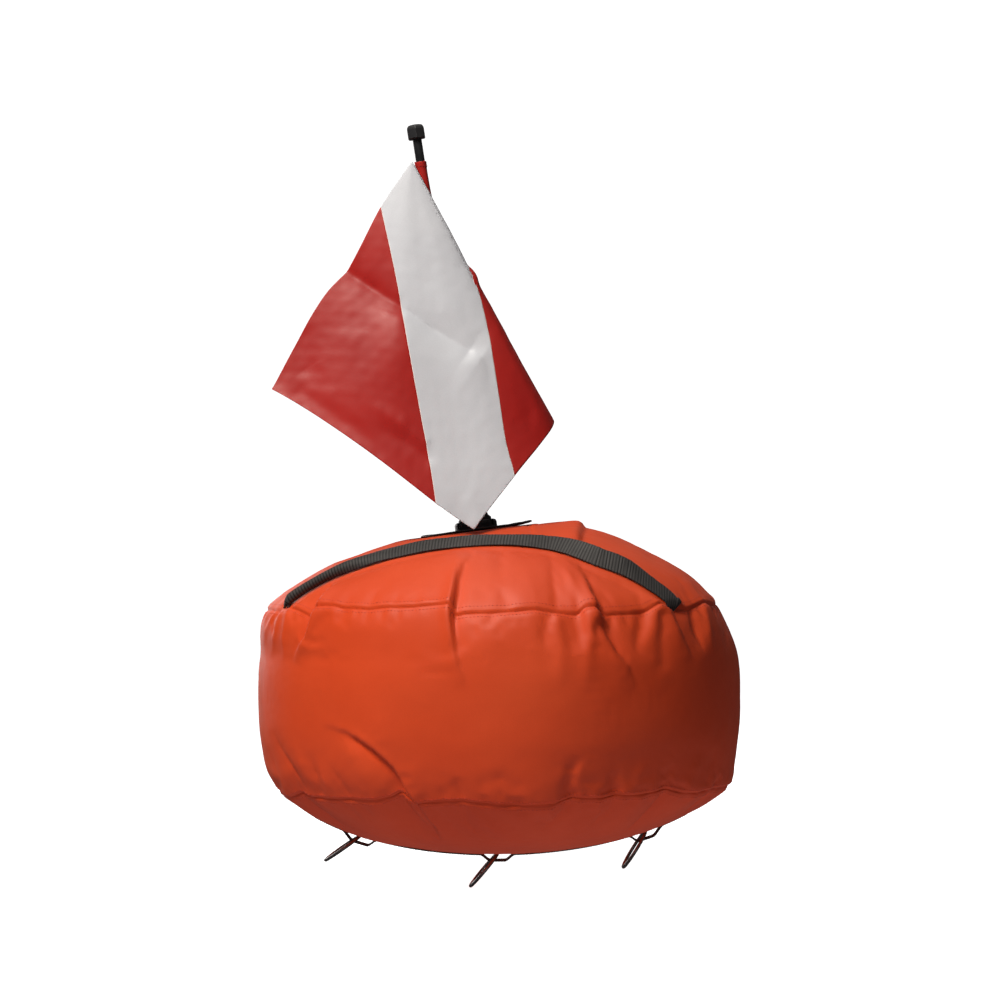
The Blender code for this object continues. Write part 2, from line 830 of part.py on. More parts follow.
def build_handle(name, front):
    side = -1.0 if front else 1.0
    xs = [HANDLE_X[0] + (HANDLE_X[1] - HANDLE_X[0]) * k / 32 for k in range(33)]
    centres, widths, normals = [], [], []
    twist = HANDLE_TWIST
    for x in xs:
        y = side * handle_plan(x)
        tangent = Vector((1.0, side * handle_slope(x), 0.0))
        p, n = on_dome(x, y)
        tangent -= n * tangent.dot(n)
        tangent.normalize()
        out = tangent.cross(n)
        if out.y * side < 0:
            out = -out
        level = math.degrees(math.asin(max(-1.0, min(1.0, -out.z))))
        angle = max(np.interp(x, [t[0] for t in twist], [t[1] for t in twist]), level)
        extra = math.radians(angle - level)
        w = out * math.cos(extra) - n * math.sin(extra)
        m = w.cross(tangent)
        if m.dot(n) < 0:
            m = -m
        lift = STRAP_W / 2 * math.sin(extra) + STRAP_T / 2 + 0.0006
        # the convex dome falls away, so the level edge decides the clearance
        centres.append(p + n * lift)
        widths.append(w)
        normals.append(m)
    # keep clear of the dome under the whole width
    for i in range(len(xs)):
        need = 0.0
        for t in (-0.5, -0.25, 0.0, 0.25, 0.5):
            q = centres[i] + widths[i] * STRAP_W * t - normals[i] * STRAP_T / 2
            s, sn = on_dome(q.x, q.y)
            if math.hypot(q.x - s.x, q.y - s.y) > 1e-4:
                continue
            need = max(need, (GAP + 0.0001) - (q - s).dot(sn))
        centres[i] += on_dome(centres[i].x, centres[i].y)[1] * need
    ribbon(name, centres, widths, normals, STRAP_W, STRAP_T, webbing())


def strap_line(x):
    """Height of the bottom strap's upper face over x, without its loops."""
    line = [belly_point(r, math.pi) for r in reversed(LOW_RADII)]
    line += [belly_point(r, 0.0) for r in (0.0,) + LOW_RADII]
    z = np.interp(x, [p.x for p in line], [p.z for p in line])
    return float(z) - GAP - STRAP_LOOSE * max(0.0, 1 - (x / 0.19) ** 2)


def build_strap():
    xs = []
    for k in range(73):
        xs.append(-0.270 + 0.540 * k / 72)
    pts = []
    for x in xs:
        dip = 0.0
        for _, rx, _ in RINGS:
            d = abs(x - rx)
            if d < 0.026:
                dip = max(dip, smoothstep((0.026 - d) / 0.016))
        pts.append((x, strap_line(x) - dip * (TUNNEL - GAP)))
    bm = bmesh.new()
    rings = []
    for i, (x, z) in enumerate(pts):
        x0, z0 = pts[max(i - 1, 0)]
        x1, z1 = pts[min(i + 1, len(pts) - 1)]
        length = math.hypot(x1 - x0, z1 - z0)
        nx, nz = (z1 - z0) / length, -(x1 - x0) / length
        lower = (x + nx * STRAP_T, z + nz * STRAP_T)
        rings.append(
            [
                (x, -STRAP_W / 2, z),
                (x, STRAP_W / 2, z),
                (lower[0], STRAP_W / 2, lower[1]),
                (lower[0], -STRAP_W / 2, lower[1]),
            ]
        )
    loft(bm, rings, cap_start=True, cap_end=True)
    finish("bottom_strap", bm, webbing(), smooth=False)


def build_rings():
    for name, x, lean in RINGS:
        pivot = Vector((x, 0.0, strap_line(x) + GAP - RING_DROP))
        bm = bmesh.new()
        rings = []
        for k in range(32):
            a = 2 * math.pi * k / 32
            ring = []
            for j in range(8):
                b = 2 * math.pi * j / 8
                rad = RING_R + RING_WIRE * math.cos(b)
                ring.append(
                    (RING_WIRE * math.sin(b), rad * math.sin(a), -RING_R + rad * math.cos(a))
                )
            rings.append(ring)
        rows = [[bm.verts.new(p) for p in ring] for ring in rings]
        for a, b in zip(rows, rows[1:] + rows[:1]):
            join_rows(bm, a, b)
        obj = finish(name, bm, steel(), location=pivot)
        obj.rotation_euler = (0.0, math.radians(lean), 0.0)


# ------------------------------------------------------------------------ zip
def arc_bar(bm, angles, section):
    """A bar whose (radius, z) section is carried round the body axis."""
    rings = []
    for a in angles:
        rings.append([(r * math.cos(a), r * math.sin(a), z) for r, z in section])
    loft(bm, rings, cap_start=True, cap_end=True)


def zip_angles(extra=0.0):
    step = 2 * math.pi / SEGMENTS
    a0 = math.pi / 2 - ZIP_HALF * step + extra
    a1 = math.pi / 2 + ZIP_HALF * step - extra
    count = 2 * ZIP_HALF * ZIP_FINE
    return [a0 + (a1 - a0) * k / count for k in range(count + 1)]


def build_zip():
    tape = material("zip_tape", (0.55, 0.085, 0.045), 0.7)
    chain = material("zip_chain", (0.03, 0.03, 0.03), 0.45)
    for name, sign in (("zip_tape_upper", 1), ("zip_tape_lower", -1)):
        bm = bmesh.new()
        z0, z1 = ZIP_Z + sign * 0.0034, ZIP_Z + sign * 0.0150
        lo, hi = min(z0, z1), max(z0, z1)
        arc_bar(bm, zip_angles(), [(ZIP_R, lo), (ZIP_R + 0.0008, lo), (ZIP_R + 0.0008, hi), (ZIP_R, hi)])
        finish(name, bm, tape)
    bm = bmesh.new()
    arc_bar(
        bm,
        zip_angles(0.012),
        [
            (ZIP_R, ZIP_Z - 0.0030),
            (ZIP_R + 0.0020, ZIP_Z - 0.0030),
            (ZIP_R + 0.0024, ZIP_Z - 0.0022),
            (ZIP_R + 0.0024, ZIP_Z + 0.0022),
            (ZIP_R + 0.0020, ZIP_Z + 0.0030),
            (ZIP_R, ZIP_Z + 0.0030),
        ],
    )
    finish("zip_chain", bm, chain)
    step = 2 * math.pi / SEGMENTS
    ends = (math.pi / 2 - ZIP_HALF * step + 0.016, math.pi / 2 + ZIP_HALF * step - 0.016)
    for name, a in zip(("zip_stop_right", "zip_stop_left"), ends):
        bm = bmesh.new()
        arc_bar(
            bm,
            [a - 0.0035, a, a + 0.0035],
            [
                (ZIP_R + 0.0027, ZIP_Z - 0.0042),
                (ZIP_R + 0.0044, ZIP_Z - 0.0042),
                (ZIP_R + 0.0044, ZIP_Z + 0.0042),
                (ZIP_R + 0.0027, ZIP_Z + 0.0042),
            ],
        )
        finish(name, bm, steel())

    # slider: a channel over the chain, with a bail for the pull
    rest = math.pi / 2 + ZIP_HALF * step - 0.052
    holder = empty("slider_axis", Matrix.Rotation(rest - math.pi / 2, 4, "Z"))
    bm = bmesh.new()
    half = 0.0075 / ZIP_R
    angles = [math.pi / 2 - half + 2 * half * k / 4 for k in range(5)]
    section = [
        (ZIP_R + 0.0011, -0.0052),
        (ZIP_R + 0.0042, -0.0052),
        (ZIP_R + 0.0046, -0.0046),
        (ZIP_R + 0.0046, 0.0046),
        (ZIP_R + 0.0042, 0.0052),
        (ZIP_R + 0.0011, 0.0052),
        (ZIP_R + 0.0011, 0.0035),
        (ZIP_R + 0.0028, 0.0035),
        (ZIP_R + 0.0028, -0.0035),
        (ZIP_R + 0.0011, -0.0035),
    ]
    arc_bar(bm, angles, [(r, ZIP_Z + z) for r, z in section])
    slider = finish("zip_slider", bm, plastic(), parent=holder)
    # the bail is a small bridge standing on the slider, open along the chain
    bm = bmesh.new()
    arch = [
        (0.0041, 0.0041), (0.0082, 0.0041), (0.0090, 0.0034), (0.0090, -0.0034),
        (0.0082, -0.0041), (0.0041, -0.0041), (0.0041, -0.0027), (0.0066, -0.0027),
        (0.0066, 0.0027), (0.0041, 0.0027),
    ]
    loft(
        bm,
        [[(x, ZIP_R + r, ZIP_Z + z) for r, z in arch] for x in (-0.0010, 0.0010)],
        cap_start=True,
        cap_end=True,
    )
    boolean(slider, bm, "UNION")

    # the pull: its eye passes through the bail and the tab hangs down
    bm = bmesh.new()
    outline_out = [
        (-0.0040, 0.0006), (0.0040, 0.0006), (0.0040, -0.0070), (0.0034, -0.0085),
        (0.0034, -0.0270), (0.0022, -0.0290), (-0.0022, -0.0290), (-0.0034, -0.0270),
        (-0.0034, -0.0085), (-0.0040, -0.0070),
    ]
    outline_in = [
        (-0.0024, -0.0006), (0.0024, -0.0006), (0.0024, -0.0048), (0.0021, -0.0055),
        (0.0015, -0.0060), (0.0006, -0.0062), (-0.0006, -0.0062), (-0.0015, -0.0060),
        (-0.0021, -0.0055), (-0.0024, -0.0048),
    ]
    y0, y1 = -0.0006, 0.0006
    rows = [
        [bm.verts.new((x, y, z)) for x, z in pts]
        for pts, y in (
            (outline_out, y0), (outline_out, y1), (outline_in, y1), (outline_in, y0),
        )
    ]
    for a, b in zip(rows, rows[1:] + rows[:1]):
        join_rows(bm, a, b)
    pull = finish("zip_pull", bm, plastic(), parent=holder, smooth=False)
    pull.location = (0.0, ZIP_R + 0.0056, ZIP_Z)


def main():
    clear_scene()
    top = build_cover()
    bladder = build_bladder()
    build_valve(top, bladder)
    build_top_fittings(top)
    build_mast()
    build_flag()
    build_handle("handle_front", True)
    build_handle("handle_rear", False)
    build_strap()
    build_rings()
    build_zip()


main()
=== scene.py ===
import json
import math

import bmesh
import bpy
import numpy as np
from mathutils import Matrix, Vector


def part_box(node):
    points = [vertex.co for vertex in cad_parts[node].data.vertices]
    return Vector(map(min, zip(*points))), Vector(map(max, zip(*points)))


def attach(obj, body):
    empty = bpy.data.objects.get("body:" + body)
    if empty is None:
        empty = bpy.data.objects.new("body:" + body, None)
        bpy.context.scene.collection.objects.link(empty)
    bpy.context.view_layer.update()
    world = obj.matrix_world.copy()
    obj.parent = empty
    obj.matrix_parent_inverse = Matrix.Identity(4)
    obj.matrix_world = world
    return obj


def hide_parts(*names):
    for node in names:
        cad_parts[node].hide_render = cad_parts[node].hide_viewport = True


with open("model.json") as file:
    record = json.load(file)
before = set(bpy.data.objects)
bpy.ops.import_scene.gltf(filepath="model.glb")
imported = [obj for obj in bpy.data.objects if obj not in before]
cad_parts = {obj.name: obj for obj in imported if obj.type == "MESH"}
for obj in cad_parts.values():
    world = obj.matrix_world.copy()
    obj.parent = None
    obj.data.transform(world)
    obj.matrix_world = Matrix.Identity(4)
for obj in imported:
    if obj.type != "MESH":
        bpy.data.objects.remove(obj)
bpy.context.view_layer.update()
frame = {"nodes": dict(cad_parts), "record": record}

NODES = frame["nodes"]

# ------------------------------------------------------------ shape constants
R_SEAM = 0.3265
BULGE = 0.0239
BAND_H = 0.2657
BELLY = 0.0860
BELLY_TIP = 0.0030
DOME_H = 0.1183
DOME_FLAT = 0.1088
DOME_BLEND = 0.0040
GAP = 0.0003
RING_R = 0.0305
RING_WIRE = 0.0025
RING_DROP = 0.0034
STRAP_W = 0.030
STRAP_T = 0.0016
STRAP_LOOSE = 0.0030
TUNNEL = 0.0115
RINGS = (("ring_left", -0.2060, 56.0), ("ring_center", -0.0060, 41.0), ("ring_right", 0.2100, 33.0))
TOP_SHIFT = -0.0092
LOW_SHIFT = 0.0045
APEX_X = -0.0300
PLATE_TILT = 6.8
MAST_TILT = 7.9
PATCH_R = 0.0825
PATCH_T = 0.0030
MAST_R = 0.00675
FLAG_SIDE = 0.397
STRIPE = 0.0834
SLEEVE_TOP = 0.5437
SLEEVE_OUT = 0.00835
VALVE_R = 0.2480
ZIP_Z = 0.3000
ZIP_R = 0.3508
Z_BELLY = (
    2 * RING_R * math.cos(math.radians(41)) + RING_WIRE + RING_DROP + STRAP_LOOSE + BELLY_TIP
)
Z_LO = Z_BELLY + BELLY
Z_HI = Z_LO + BAND_H
Z_PLATE = Z_HI + DOME_FLAT


def smooth(x):
    x = np.clip(x, 0.0, 1.0)
    return x * x * (3 - 2 * x)


def plate_matrix():
    return Matrix.Translation((APEX_X, 0, Z_PLATE)) @ Matrix.Rotation(-math.radians(PLATE_TILT), 4, "Y")


def mast_matrix():
    return Matrix.Translation((APEX_X, 0, Z_PLATE + GAP + PATCH_T)) @ Matrix.Rotation(
        -math.radians(MAST_TILT), 4, "Y"
    )


# --------------------------------------------------------------------- camera
CAM_DIST = 4.1
CAM_Z = 0.478
FOCAL = 2808.0
CAM_X = 0.0048
ROLL = math.radians(-0.8)
PITCH = 0.0376 - (CAM_Z - 0.40964) / CAM_DIST


def add_camera():
    data = bpy.data.cameras.new("camera")
    data.sensor_width = 36.0
    data.lens = FOCAL * 36.0 / 1000.0
    data.clip_start = 0.05
    data.clip_end = 60.0
    cam = bpy.data.objects.new("camera", data)
    bpy.context.scene.collection.objects.link(cam)
    cam.matrix_world = (
        Matrix.Translation((CAM_X, -CAM_DIST, CAM_Z))
        @ Matrix.Rotation(math.pi / 2 + PITCH, 4, "X")
        @ Matrix.Rotation(ROLL, 4, "Z")
    )
    bpy.context.scene.camera = cam
    return cam


CAM = add_camera()
CAM_INVERSE = np.array(CAM.matrix_world.inverted())


def pixels(p):
    """Where points (n, 3) fall in the photograph's frame."""
    q = p @ CAM_INVERSE[:3, :3].T + CAM_INVERSE[:3, 3]
    return np.stack([500 + FOCAL * q[:, 0] / -q[:, 2], 500 - FOCAL * q[:, 1] / -q[:, 2]], axis=1)


# -------------------------------------------------------------- small helpers
def link(name, verts, faces, mats, smooth_faces=True, uvs=None, face_mats=None):
    mesh = bpy.data.meshes.new(name)
    mesh.from_pydata([tuple(v) for v in verts], [], [tuple(f) for f in faces])
    for m in mats if isinstance(mats, (list, tuple)) else [mats]:
        mesh.materials.append(m)
    if face_mats is not None:
        mesh.polygons.foreach_set("material_index", np.array(face_mats, np.int32))
    mesh.polygons.foreach_set("use_smooth", np.full(len(mesh.polygons), smooth_faces))
    if uvs is not None:
        layer = mesh.uv_layers.new(name="UVMap")
        loops = np.zeros(len(mesh.loops), np.int32)
        mesh.loops.foreach_get("vertex_index", loops)
        layer.data.foreach_set("uv", np.array(uvs, np.float32)[loops].ravel())
    mesh.update()
    obj = bpy.data.objects.new(name, mesh)
    bpy.context.scene.collection.objects.link(obj)
    return obj


def catmull(values, x, periodic):
    """Cubic through rows of values at positions x, in units of rows."""
    n = len(values)
    i = np.floor(x).astype(int)
    if not periodic:
        i = np.clip(i, 0, n - 2)
    t = (x - i).reshape((-1,) + (1,) * (values.ndim - 1))
    if periodic:
        p0, p1, p2, p3 = (values[(i + k) % n] for k in (-1, 0, 1, 2))
    else:
        p0, p1, p2, p3 = (values[np.clip(i + k, 0, n - 1)] for k in (-1, 0, 1, 2))
    return 0.5 * (
        2 * p1 + (p2 - p0) * t + (2 * p0 - 5 * p1 + 4 * p2 - p3) * t * t
        + (3 * p1 - p0 - 3 * p2 + p3) * t ** 3
    )


class Waves:
    """Smooth seeded noise in one or two directions, about -1 to 1."""

    def __init__(self, seed, count, low, high, dims=1):
        rng = np.random.RandomState(seed)
        self.k = rng.uniform(low, high, (count, 1)) * 2 * math.pi
        if dims == 2:
            turn = rng.uniform(0, 2 * math.pi, count)
            self.k = self.k * np.stack([np.cos(turn), np.sin(turn)], axis=1)
        self.p = rng.uniform(0, 2 * math.pi, count)
        self.a = rng.uniform(0.5, 1.0, count)
        self.a /= math.sqrt((self.a ** 2).sum() / 2) * 1.6

    def __call__(self, *xs):
        x = np.stack(xs, axis=-1)
        return (np.sin(x @ self.k.T + self.p) * self.a).sum(axis=-1)


def crease(q, pts, amps, width, kind="v", core=0.8, widths=None):
    """Height of a fold along a line pts through the points q, both in one plane.
    v: sharp ridge or valley, g: soft one, s: step that is high on the line's left,
    r: roll on the line's left that dives into a sharp crease at the line."""
    pts = np.array(pts, float)
    amps = np.broadcast_to(np.array(amps, float), (len(pts),))
    lo, hi = pts.min(axis=0) - 5 * width, pts.max(axis=0) + 5 * width
    near = np.where(((q >= lo) & (q <= hi)).all(axis=1))[0]
    out = np.zeros(len(q))
    if not len(near):
        return out
    p = q[near]
    best = np.full(len(p), 1e9)
    side = np.zeros(len(p))
    amp = np.zeros(len(p))
    over = np.zeros(len(p))
    for k in range(len(pts) - 1):
        a, b = pts[k], pts[k + 1]
        d = b - a
        length = math.hypot(*d)
        d = d / length
        t = (p - a) @ d
        tc = np.clip(t, 0, length)
        foot = a + tc[:, None] * d
        r = p - foot
        dist = np.hypot(r[:, 0], r[:, 1])
        take = dist < best
        best = np.where(take, dist, best)
        side = np.where(take, np.sign(r[:, 0] * d[1] - r[:, 1] * d[0]), side)
        amp = np.where(take, amps[k] + (amps[k + 1] - amps[k]) * tc / length, amp)
        past = np.zeros(len(p))
        if k == 0:
            past = np.maximum(past, -t)
        if k == len(pts) - 2:
            past = np.maximum(past, t - length)
        over = np.where(take, np.maximum(past, 0), over)
    s = best / width
    if kind == "v":
        f = np.exp(-(np.sqrt(s * s + (core / width) ** 2) - core / width))
    elif kind == "g":
        f = np.exp(-s * s)
    elif kind == "r":
        roll = -0.15 + 1.15 * (1 - np.exp(-best / core))
        f = np.where(side > 0, roll * np.exp(-s * s), -0.15 * np.exp(-1.5 * s))
    else:
        f = side * np.tanh(best / core) * np.exp(-s)
    out[near] = amp * f * np.exp(-((over / (1.2 * width)) ** 2))
    return out


# ------------------------------------------------------------------ materials
def new_material(name):
    mat = bpy.data.materials.new(name)
    mat.use_nodes = True
    nodes, links = mat.node_tree.nodes, mat.node_tree.links
    shader = next(n for n in nodes if n.type == "BSDF_PRINCIPLED")
    return mat, nodes, links, shader


def ramp(nodes, stops):
    node = nodes.new("ShaderNodeValToRGB")
    while len(node.color_ramp.elements) < len(stops):
        node.color_ramp.elements.new(0.5)
    for e, (pos, colour) in zip(node.color_ramp.elements, stops):
        e.position = pos
        e.color = tuple(colour) + (1.0,) if len(colour) == 3 else colour
    return node


def grey(v):
    return (v, v, v)


def noise_node(nodes, links, vector, scale, detail=3.0, rough=0.55):
    n = nodes.new("ShaderNodeTexNoise")
    n.inputs["Scale"].default_value = scale
    n.inputs["Detail"].default_value = detail
    n.inputs["Roughness"].default_value = rough
    links.new(vector, n.inputs["Vector"])
    return n


def wave_node(nodes, links, vector, scale, direction):
    n = nodes.new("ShaderNodeTexWave")
    n.wave_type = "BANDS"
    n.bands_direction = direction
    n.wave_profile = "SIN"
    n.inputs["Scale"].default_value = scale
    n.inputs["Distortion"].default_value = 0.0
    n.inputs["Detail"].default_value = 0.0
    links.new(vector, n.inputs["Vector"])
    return n


def math_node(nodes, links, op, a, b=None):
    n = nodes.new("ShaderNodeMath")
    n.operation = op
    for k, v in enumerate((a, b)):
        if v is None:
            continue
        if isinstance(v, (int, float)):
            n.inputs[k].default_value = v
        else:
            links.new(v, n.inputs[k])
    return n.outputs[0]


def cloth_material(name, colours, rough, weave_mm, weave_depth, sheen=0.0, sheen_tint=(1, 1, 1), uv=True,
                   spec=0.5, cloud=9.0, ribs=0.0):
    """Woven, coated cloth: colour clouds, roughness patches and a plain weave in the bump.
    ribs is the pitch of thick cross threads along the first UV axis; the gaps between them are darkened with painted
    shade."""
    mat, nodes, links, shader = new_material(name)
    coord = nodes.new("ShaderNodeTexCoord")
    obj = coord.outputs["Object"]
    cloud_noise = noise_node(nodes, links, obj, cloud, 4.0)
    tone = ramp(nodes, [(0.30, colours[0]), (0.55, colours[1]), (0.75, colours[2])])
    links.new(cloud_noise.outputs["Fac"], tone.inputs["Fac"])
    fine = noise_node(nodes, links, obj, 900.0, 2.0)
    speck = ramp(nodes, [(0.3, grey(0.93)), (0.7, grey(1.0))])
    links.new(fine.outputs["Fac"], speck.inputs["Fac"])
    mix = nodes.new("ShaderNodeMix")
    mix.data_type = "RGBA"
    mix.blend_type = "MULTIPLY"
    mix.inputs["Factor"].default_value = 1.0
    links.new(tone.outputs["Color"], mix.inputs["A"])
    links.new(speck.outputs["Color"], mix.inputs["B"])
    base = mix.outputs["Result"]
    if ribs:
        spread = nodes.new("ShaderNodeUVMap")
        spread.uv_map = "UVMap"
        band_node = wave_node(nodes, links, spread.outputs["UV"], 2 * math.pi / (20.0 * ribs), "X")
        # painted shade: the base colour is darkened, down to 0.22, in the gaps between the ribs
        painted_gap_shade = ramp(nodes, [(0.35, grey(1.0)), (0.85, grey(0.22))])
        links.new(band_node.outputs["Fac"], painted_gap_shade.inputs["Fac"])
        gap_shade_mix = nodes.new("ShaderNodeMix")
        gap_shade_mix.data_type = "RGBA"
        gap_shade_mix.blend_type = "MULTIPLY"
        gap_shade_mix.inputs["Factor"].default_value = 1.0
        links.new(base, gap_shade_mix.inputs["A"])
        links.new(painted_gap_shade.outputs["Color"], gap_shade_mix.inputs["B"])
        base = gap_shade_mix.outputs["Result"]
    links.new(base, shader.inputs["Base Color"])
    patch = noise_node(nodes, links, obj, 22.0, 3.0)
    rr = ramp(nodes, [(0.3, grey(rough - 0.05)), (0.7, grey(rough + 0.06))])
    links.new(patch.outputs["Fac"], rr.inputs["Fac"])
    links.new(rr.outputs["Color"], shader.inputs["Roughness"])
    plane = obj
    if uv:
        spread = nodes.new("ShaderNodeUVMap")
        spread.uv_map = "UVMap"
        plane = spread.outputs["UV"]
    per = 1000.0 / weave_mm / 2.0 / math.pi * 0.5
    warp = wave_node(nodes, links, plane, per * 1.0, "X")
    weft = wave_node(nodes, links, plane, per * 1.0, "Y" if uv else "Z")
    both = math_node(nodes, links, "MULTIPLY", warp.outputs["Fac"], weft.outputs["Fac"])
    soft = noise_node(nodes, links, obj, 140.0, 3.0)
    total = math_node(nodes, links, "ADD", both, math_node(nodes, links, "MULTIPLY", soft.outputs["Fac"], 0.8))
    bump = nodes.new("ShaderNodeBump")
    bump.inputs["Strength"].default_value = weave_depth
    bump.inputs["Distance"].default_value = 0.0004
    links.new(total, bump.inputs["Height"])
    links.new(bump.outputs["Normal"], shader.inputs["Normal"])
    shader.inputs["Sheen Weight"].default_value = sheen
    shader.inputs["Sheen Roughness"].default_value = 0.35
    shader.inputs["Sheen Tint"].default_value = tuple(sheen_tint) + (1.0,)
    shader.inputs["Specular IOR Level"].default_value = spec
    return mat


def moulded_material(name, colour, rough, grain=420.0, depth=0.25, spec=0.5):
    """Moulded rubber or plastic: fine grain, dusty patches and scuffed tone."""
    mat, nodes, links, shader = new_material(name)
    coord = nodes.new("ShaderNodeTexCoord")
    obj = coord.outputs["Object"]
    dust = noise_node(nodes, links, obj, 55.0, 5.0)
    c = np.array(colour)
    tone = ramp(nodes, [(0.35, tuple(c * 0.8)), (0.62, tuple(c * 1.15)), (0.8, tuple(c * 1.9 + 0.004))])
    links.new(dust.outputs["Fac"], tone.inputs["Fac"])
    links.new(tone.outputs["Color"], shader.inputs["Base Color"])
    rr = ramp(nodes, [(0.3, grey(rough - 0.06)), (0.7, grey(rough + 0.12))])
    links.new(dust.outputs["Fac"], rr.inputs["Fac"])
    links.new(rr.outputs["Color"], shader.inputs["Roughness"])
    fine = noise_node(nodes, links, obj, grain, 4.0)
    bump = nodes.new("ShaderNodeBump")
    bump.inputs["Strength"].default_value = depth
    bump.inputs["Distance"].default_value = 0.0003
    links.new(fine.outputs["Fac"], bump.inputs["Height"])
    links.new(bump.outputs["Normal"], shader.inputs["Normal"])
    shader.inputs["Specular IOR Level"].default_value = spec
    return mat


def steel_material(name, colour, rough):
    """Polished steel with faint rubbed streaks and darker clouds."""
    mat, nodes, links, shader = new_material(name)
    coord = nodes.new("ShaderNodeTexCoord")
    obj = coord.outputs["Object"]
    cloud = noise_node(nodes, links, obj, 60.0, 4.0)
    c = np.array(colour)
    tone = ramp(nodes, [(0.3, tuple(c * 0.7)), (0.7, tuple(c))])
    links.new(cloud.outputs["Fac"], tone.inputs["Fac"])
    links.new(tone.outputs["Color"], shader.inputs["Base Color"])
    rr = ramp(nodes, [(0.3, grey(rough)), (0.75, grey(rough + 0.14))])
    streak = noise_node(nodes, links, obj, 380.0, 3.0)
    links.new(streak.outputs["Fac"], rr.inputs["Fac"])
    links.new(rr.outputs["Color"], shader.inputs["Roughness"])
    bump = nodes.new("ShaderNodeBump")
    bump.inputs["Strength"].default_value = 0.08
    bump.inputs["Distance"].default_value = 0.0002
    links.new(streak.outputs["Fac"], bump.inputs["Height"])
    links.new(bump.outputs["Normal"], shader.inputs["Normal"])
    shader.inputs["Metallic"].default_value = 1.0
    return mat


ORANGE = cloth_material(
    "orange_fabric",
    [(0.64, 0.057, 0.011), (0.69, 0.067, 0.014), (0.74, 0.079, 0.018)],
    0.55, 0.55, 0.07, sheen=0.02, sheen_tint=(1.0, 0.45, 0.30), spec=0.34, cloud=5.0,
)
WEBBING = cloth_material(
    "black_webbing",
    [(0.040, 0.036, 0.034), (0.050, 0.046, 0.043), (0.062, 0.057, 0.053)],
    0.66, 0.9, 0.3, sheen=0.12, spec=0.35, cloud=30.0, ribs=0.0044,
)
THREAD = cloth_material(
    "orange_thread",
    [(0.55, 0.055, 0.024), (0.62, 0.065, 0.030), (0.68, 0.080, 0.036)],
    0.6, 0.4, 0.3, sheen=0.2, spec=0.3, uv=False, cloud=40.0,
)
BLACK_THREAD = cloth_material(
    "black_thread",
    [(0.020, 0.020, 0.020), (0.028, 0.027, 0.027), (0.036, 0.035, 0.035)],
    0.6, 0.4, 0.3, sheen=0.2, spec=0.3, uv=False, cloud=40.0,
)
RUBBER = moulded_material("black_rubber", (0.017, 0.017, 0.018), 0.46)
PLASTIC = moulded_material("black_plastic", (0.014, 0.014, 0.015), 0.30, grain=260.0, depth=0.12)
GREY_PLASTIC = moulded_material("grey_plastic", (0.20, 0.20, 0.21), 0.45)
FILM = moulded_material("bladder_film", (0.27, 0.27, 0.28), 0.40, grain=90.0, depth=0.15)
STEEL = steel_material("polished_steel", (0.36, 0.35, 0.34), 0.22)
ZIP_TAPE = cloth_material(
    "zip_tape",
    [(0.46, 0.050, 0.022), (0.52, 0.062, 0.028), (0.57, 0.075, 0.034)],
    0.70, 0.8, 0.5, sheen=0.2, spec=0.25, uv=False, cloud=30.0,
)
ZIP_COIL = moulded_material("zip_chain", (0.022, 0.022, 0.022), 0.38)
FLAG_RED = cloth_material(
    "flag_red",
    [(0.36, 0.011, 0.009), (0.40, 0.014, 0.010), (0.44, 0.018, 0.013)],
    0.43, 0.7, 0.05, sheen=0.02, sheen_tint=(1.0, 0.55, 0.45), spec=0.36, cloud=6.0,
)
FLAG_EDGE = cloth_material(
    "flag_edge",
    [(0.74, 0.66, 0.60), (0.80, 0.72, 0.66), (0.84, 0.77, 0.71)],
    0.60, 1.1, 0.15, sheen=0.1, spec=0.4, cloud=30.0,
)
RED_THREAD = cloth_material(
    "red_thread",
    [(0.30, 0.012, 0.014), (0.35, 0.015, 0.016), (0.40, 0.019, 0.019)],
    0.6, 0.4, 0.3, sheen=0.2, spec=0.3, uv=False, cloud=40.0,
)
FLAG_WHITE = cloth_material(
    "flag_white",
    [(0.60, 0.595, 0.605), (0.635, 0.63, 0.64), (0.66, 0.655, 0.66)],
    0.52, 0.7, 0.06, sheen=0.10, spec=0.36, cloud=6.0,
)


# ---------------------------------------------------------------------- cover
def dome(r, a):
    u = np.minimum(r / R_SEAM, 1.0)
    free = DOME_H * np.maximum(1 - u ** 2.1, 0.0) ** 0.8
    near = np.maximum(DOME_BLEND - np.abs(free - DOME_FLAT), 0.0) / DOME_BLEND
    h = np.minimum(free, DOME_FLAT) - near * near * DOME_BLEND / 4
    shift = APEX_X + (TOP_SHIFT - APEX_X) * smooth((r - 0.10) / (R_SEAM - 0.10))
    tilt = np.interp(r, (0.11, 0.18, 0.22, 0.29, R_SEAM), (PLATE_TILT, 4.8, 2.6, 1.0, 0.0))
    x = r * np.cos(a)
    return np.stack([shift + x, r * np.sin(a), Z_HI + h + np.tan(np.radians(tilt)) * x], axis=-1)


def band(z, a):
    s = (z - (Z_LO + BAND_H / 2)) / (BAND_H / 2)
    radius = R_SEAM + BULGE * (1 - np.minimum(np.abs(s), 1.0) ** 2.6)
    shift = TOP_SHIFT * smooth((z - 0.335) / (Z_HI - 0.335)) + LOW_SHIFT * smooth((0.175 - z) / (0.175 - Z_LO))
    return np.stack([shift + radius * np.cos(a), radius * np.sin(a), z + 0 * a], axis=-1)


def belly(r, a):
    shift = LOW_SHIFT * (r / R_SEAM) ** 4
    z = Z_BELLY + BELLY * (r / R_SEAM) ** 3 - BELLY_TIP * np.exp(-((r / 0.09) ** 2))
    return np.stack([shift + r * np.cos(a), r * np.sin(a), z + 0 * a], axis=-1)


def skin(panel, u, a):
    """Outer surface. panel 0: top, centre to seam; 1: band, down; 2: bottom, seam to centre."""
    if panel == 0:
        return dome(np.maximum(u * R_SEAM, 1e-5), a)
    if panel == 1:
        return band(Z_HI - u * BAND_H, a)
    return belly(np.maximum((1 - u) * R_SEAM, 1e-5), a)


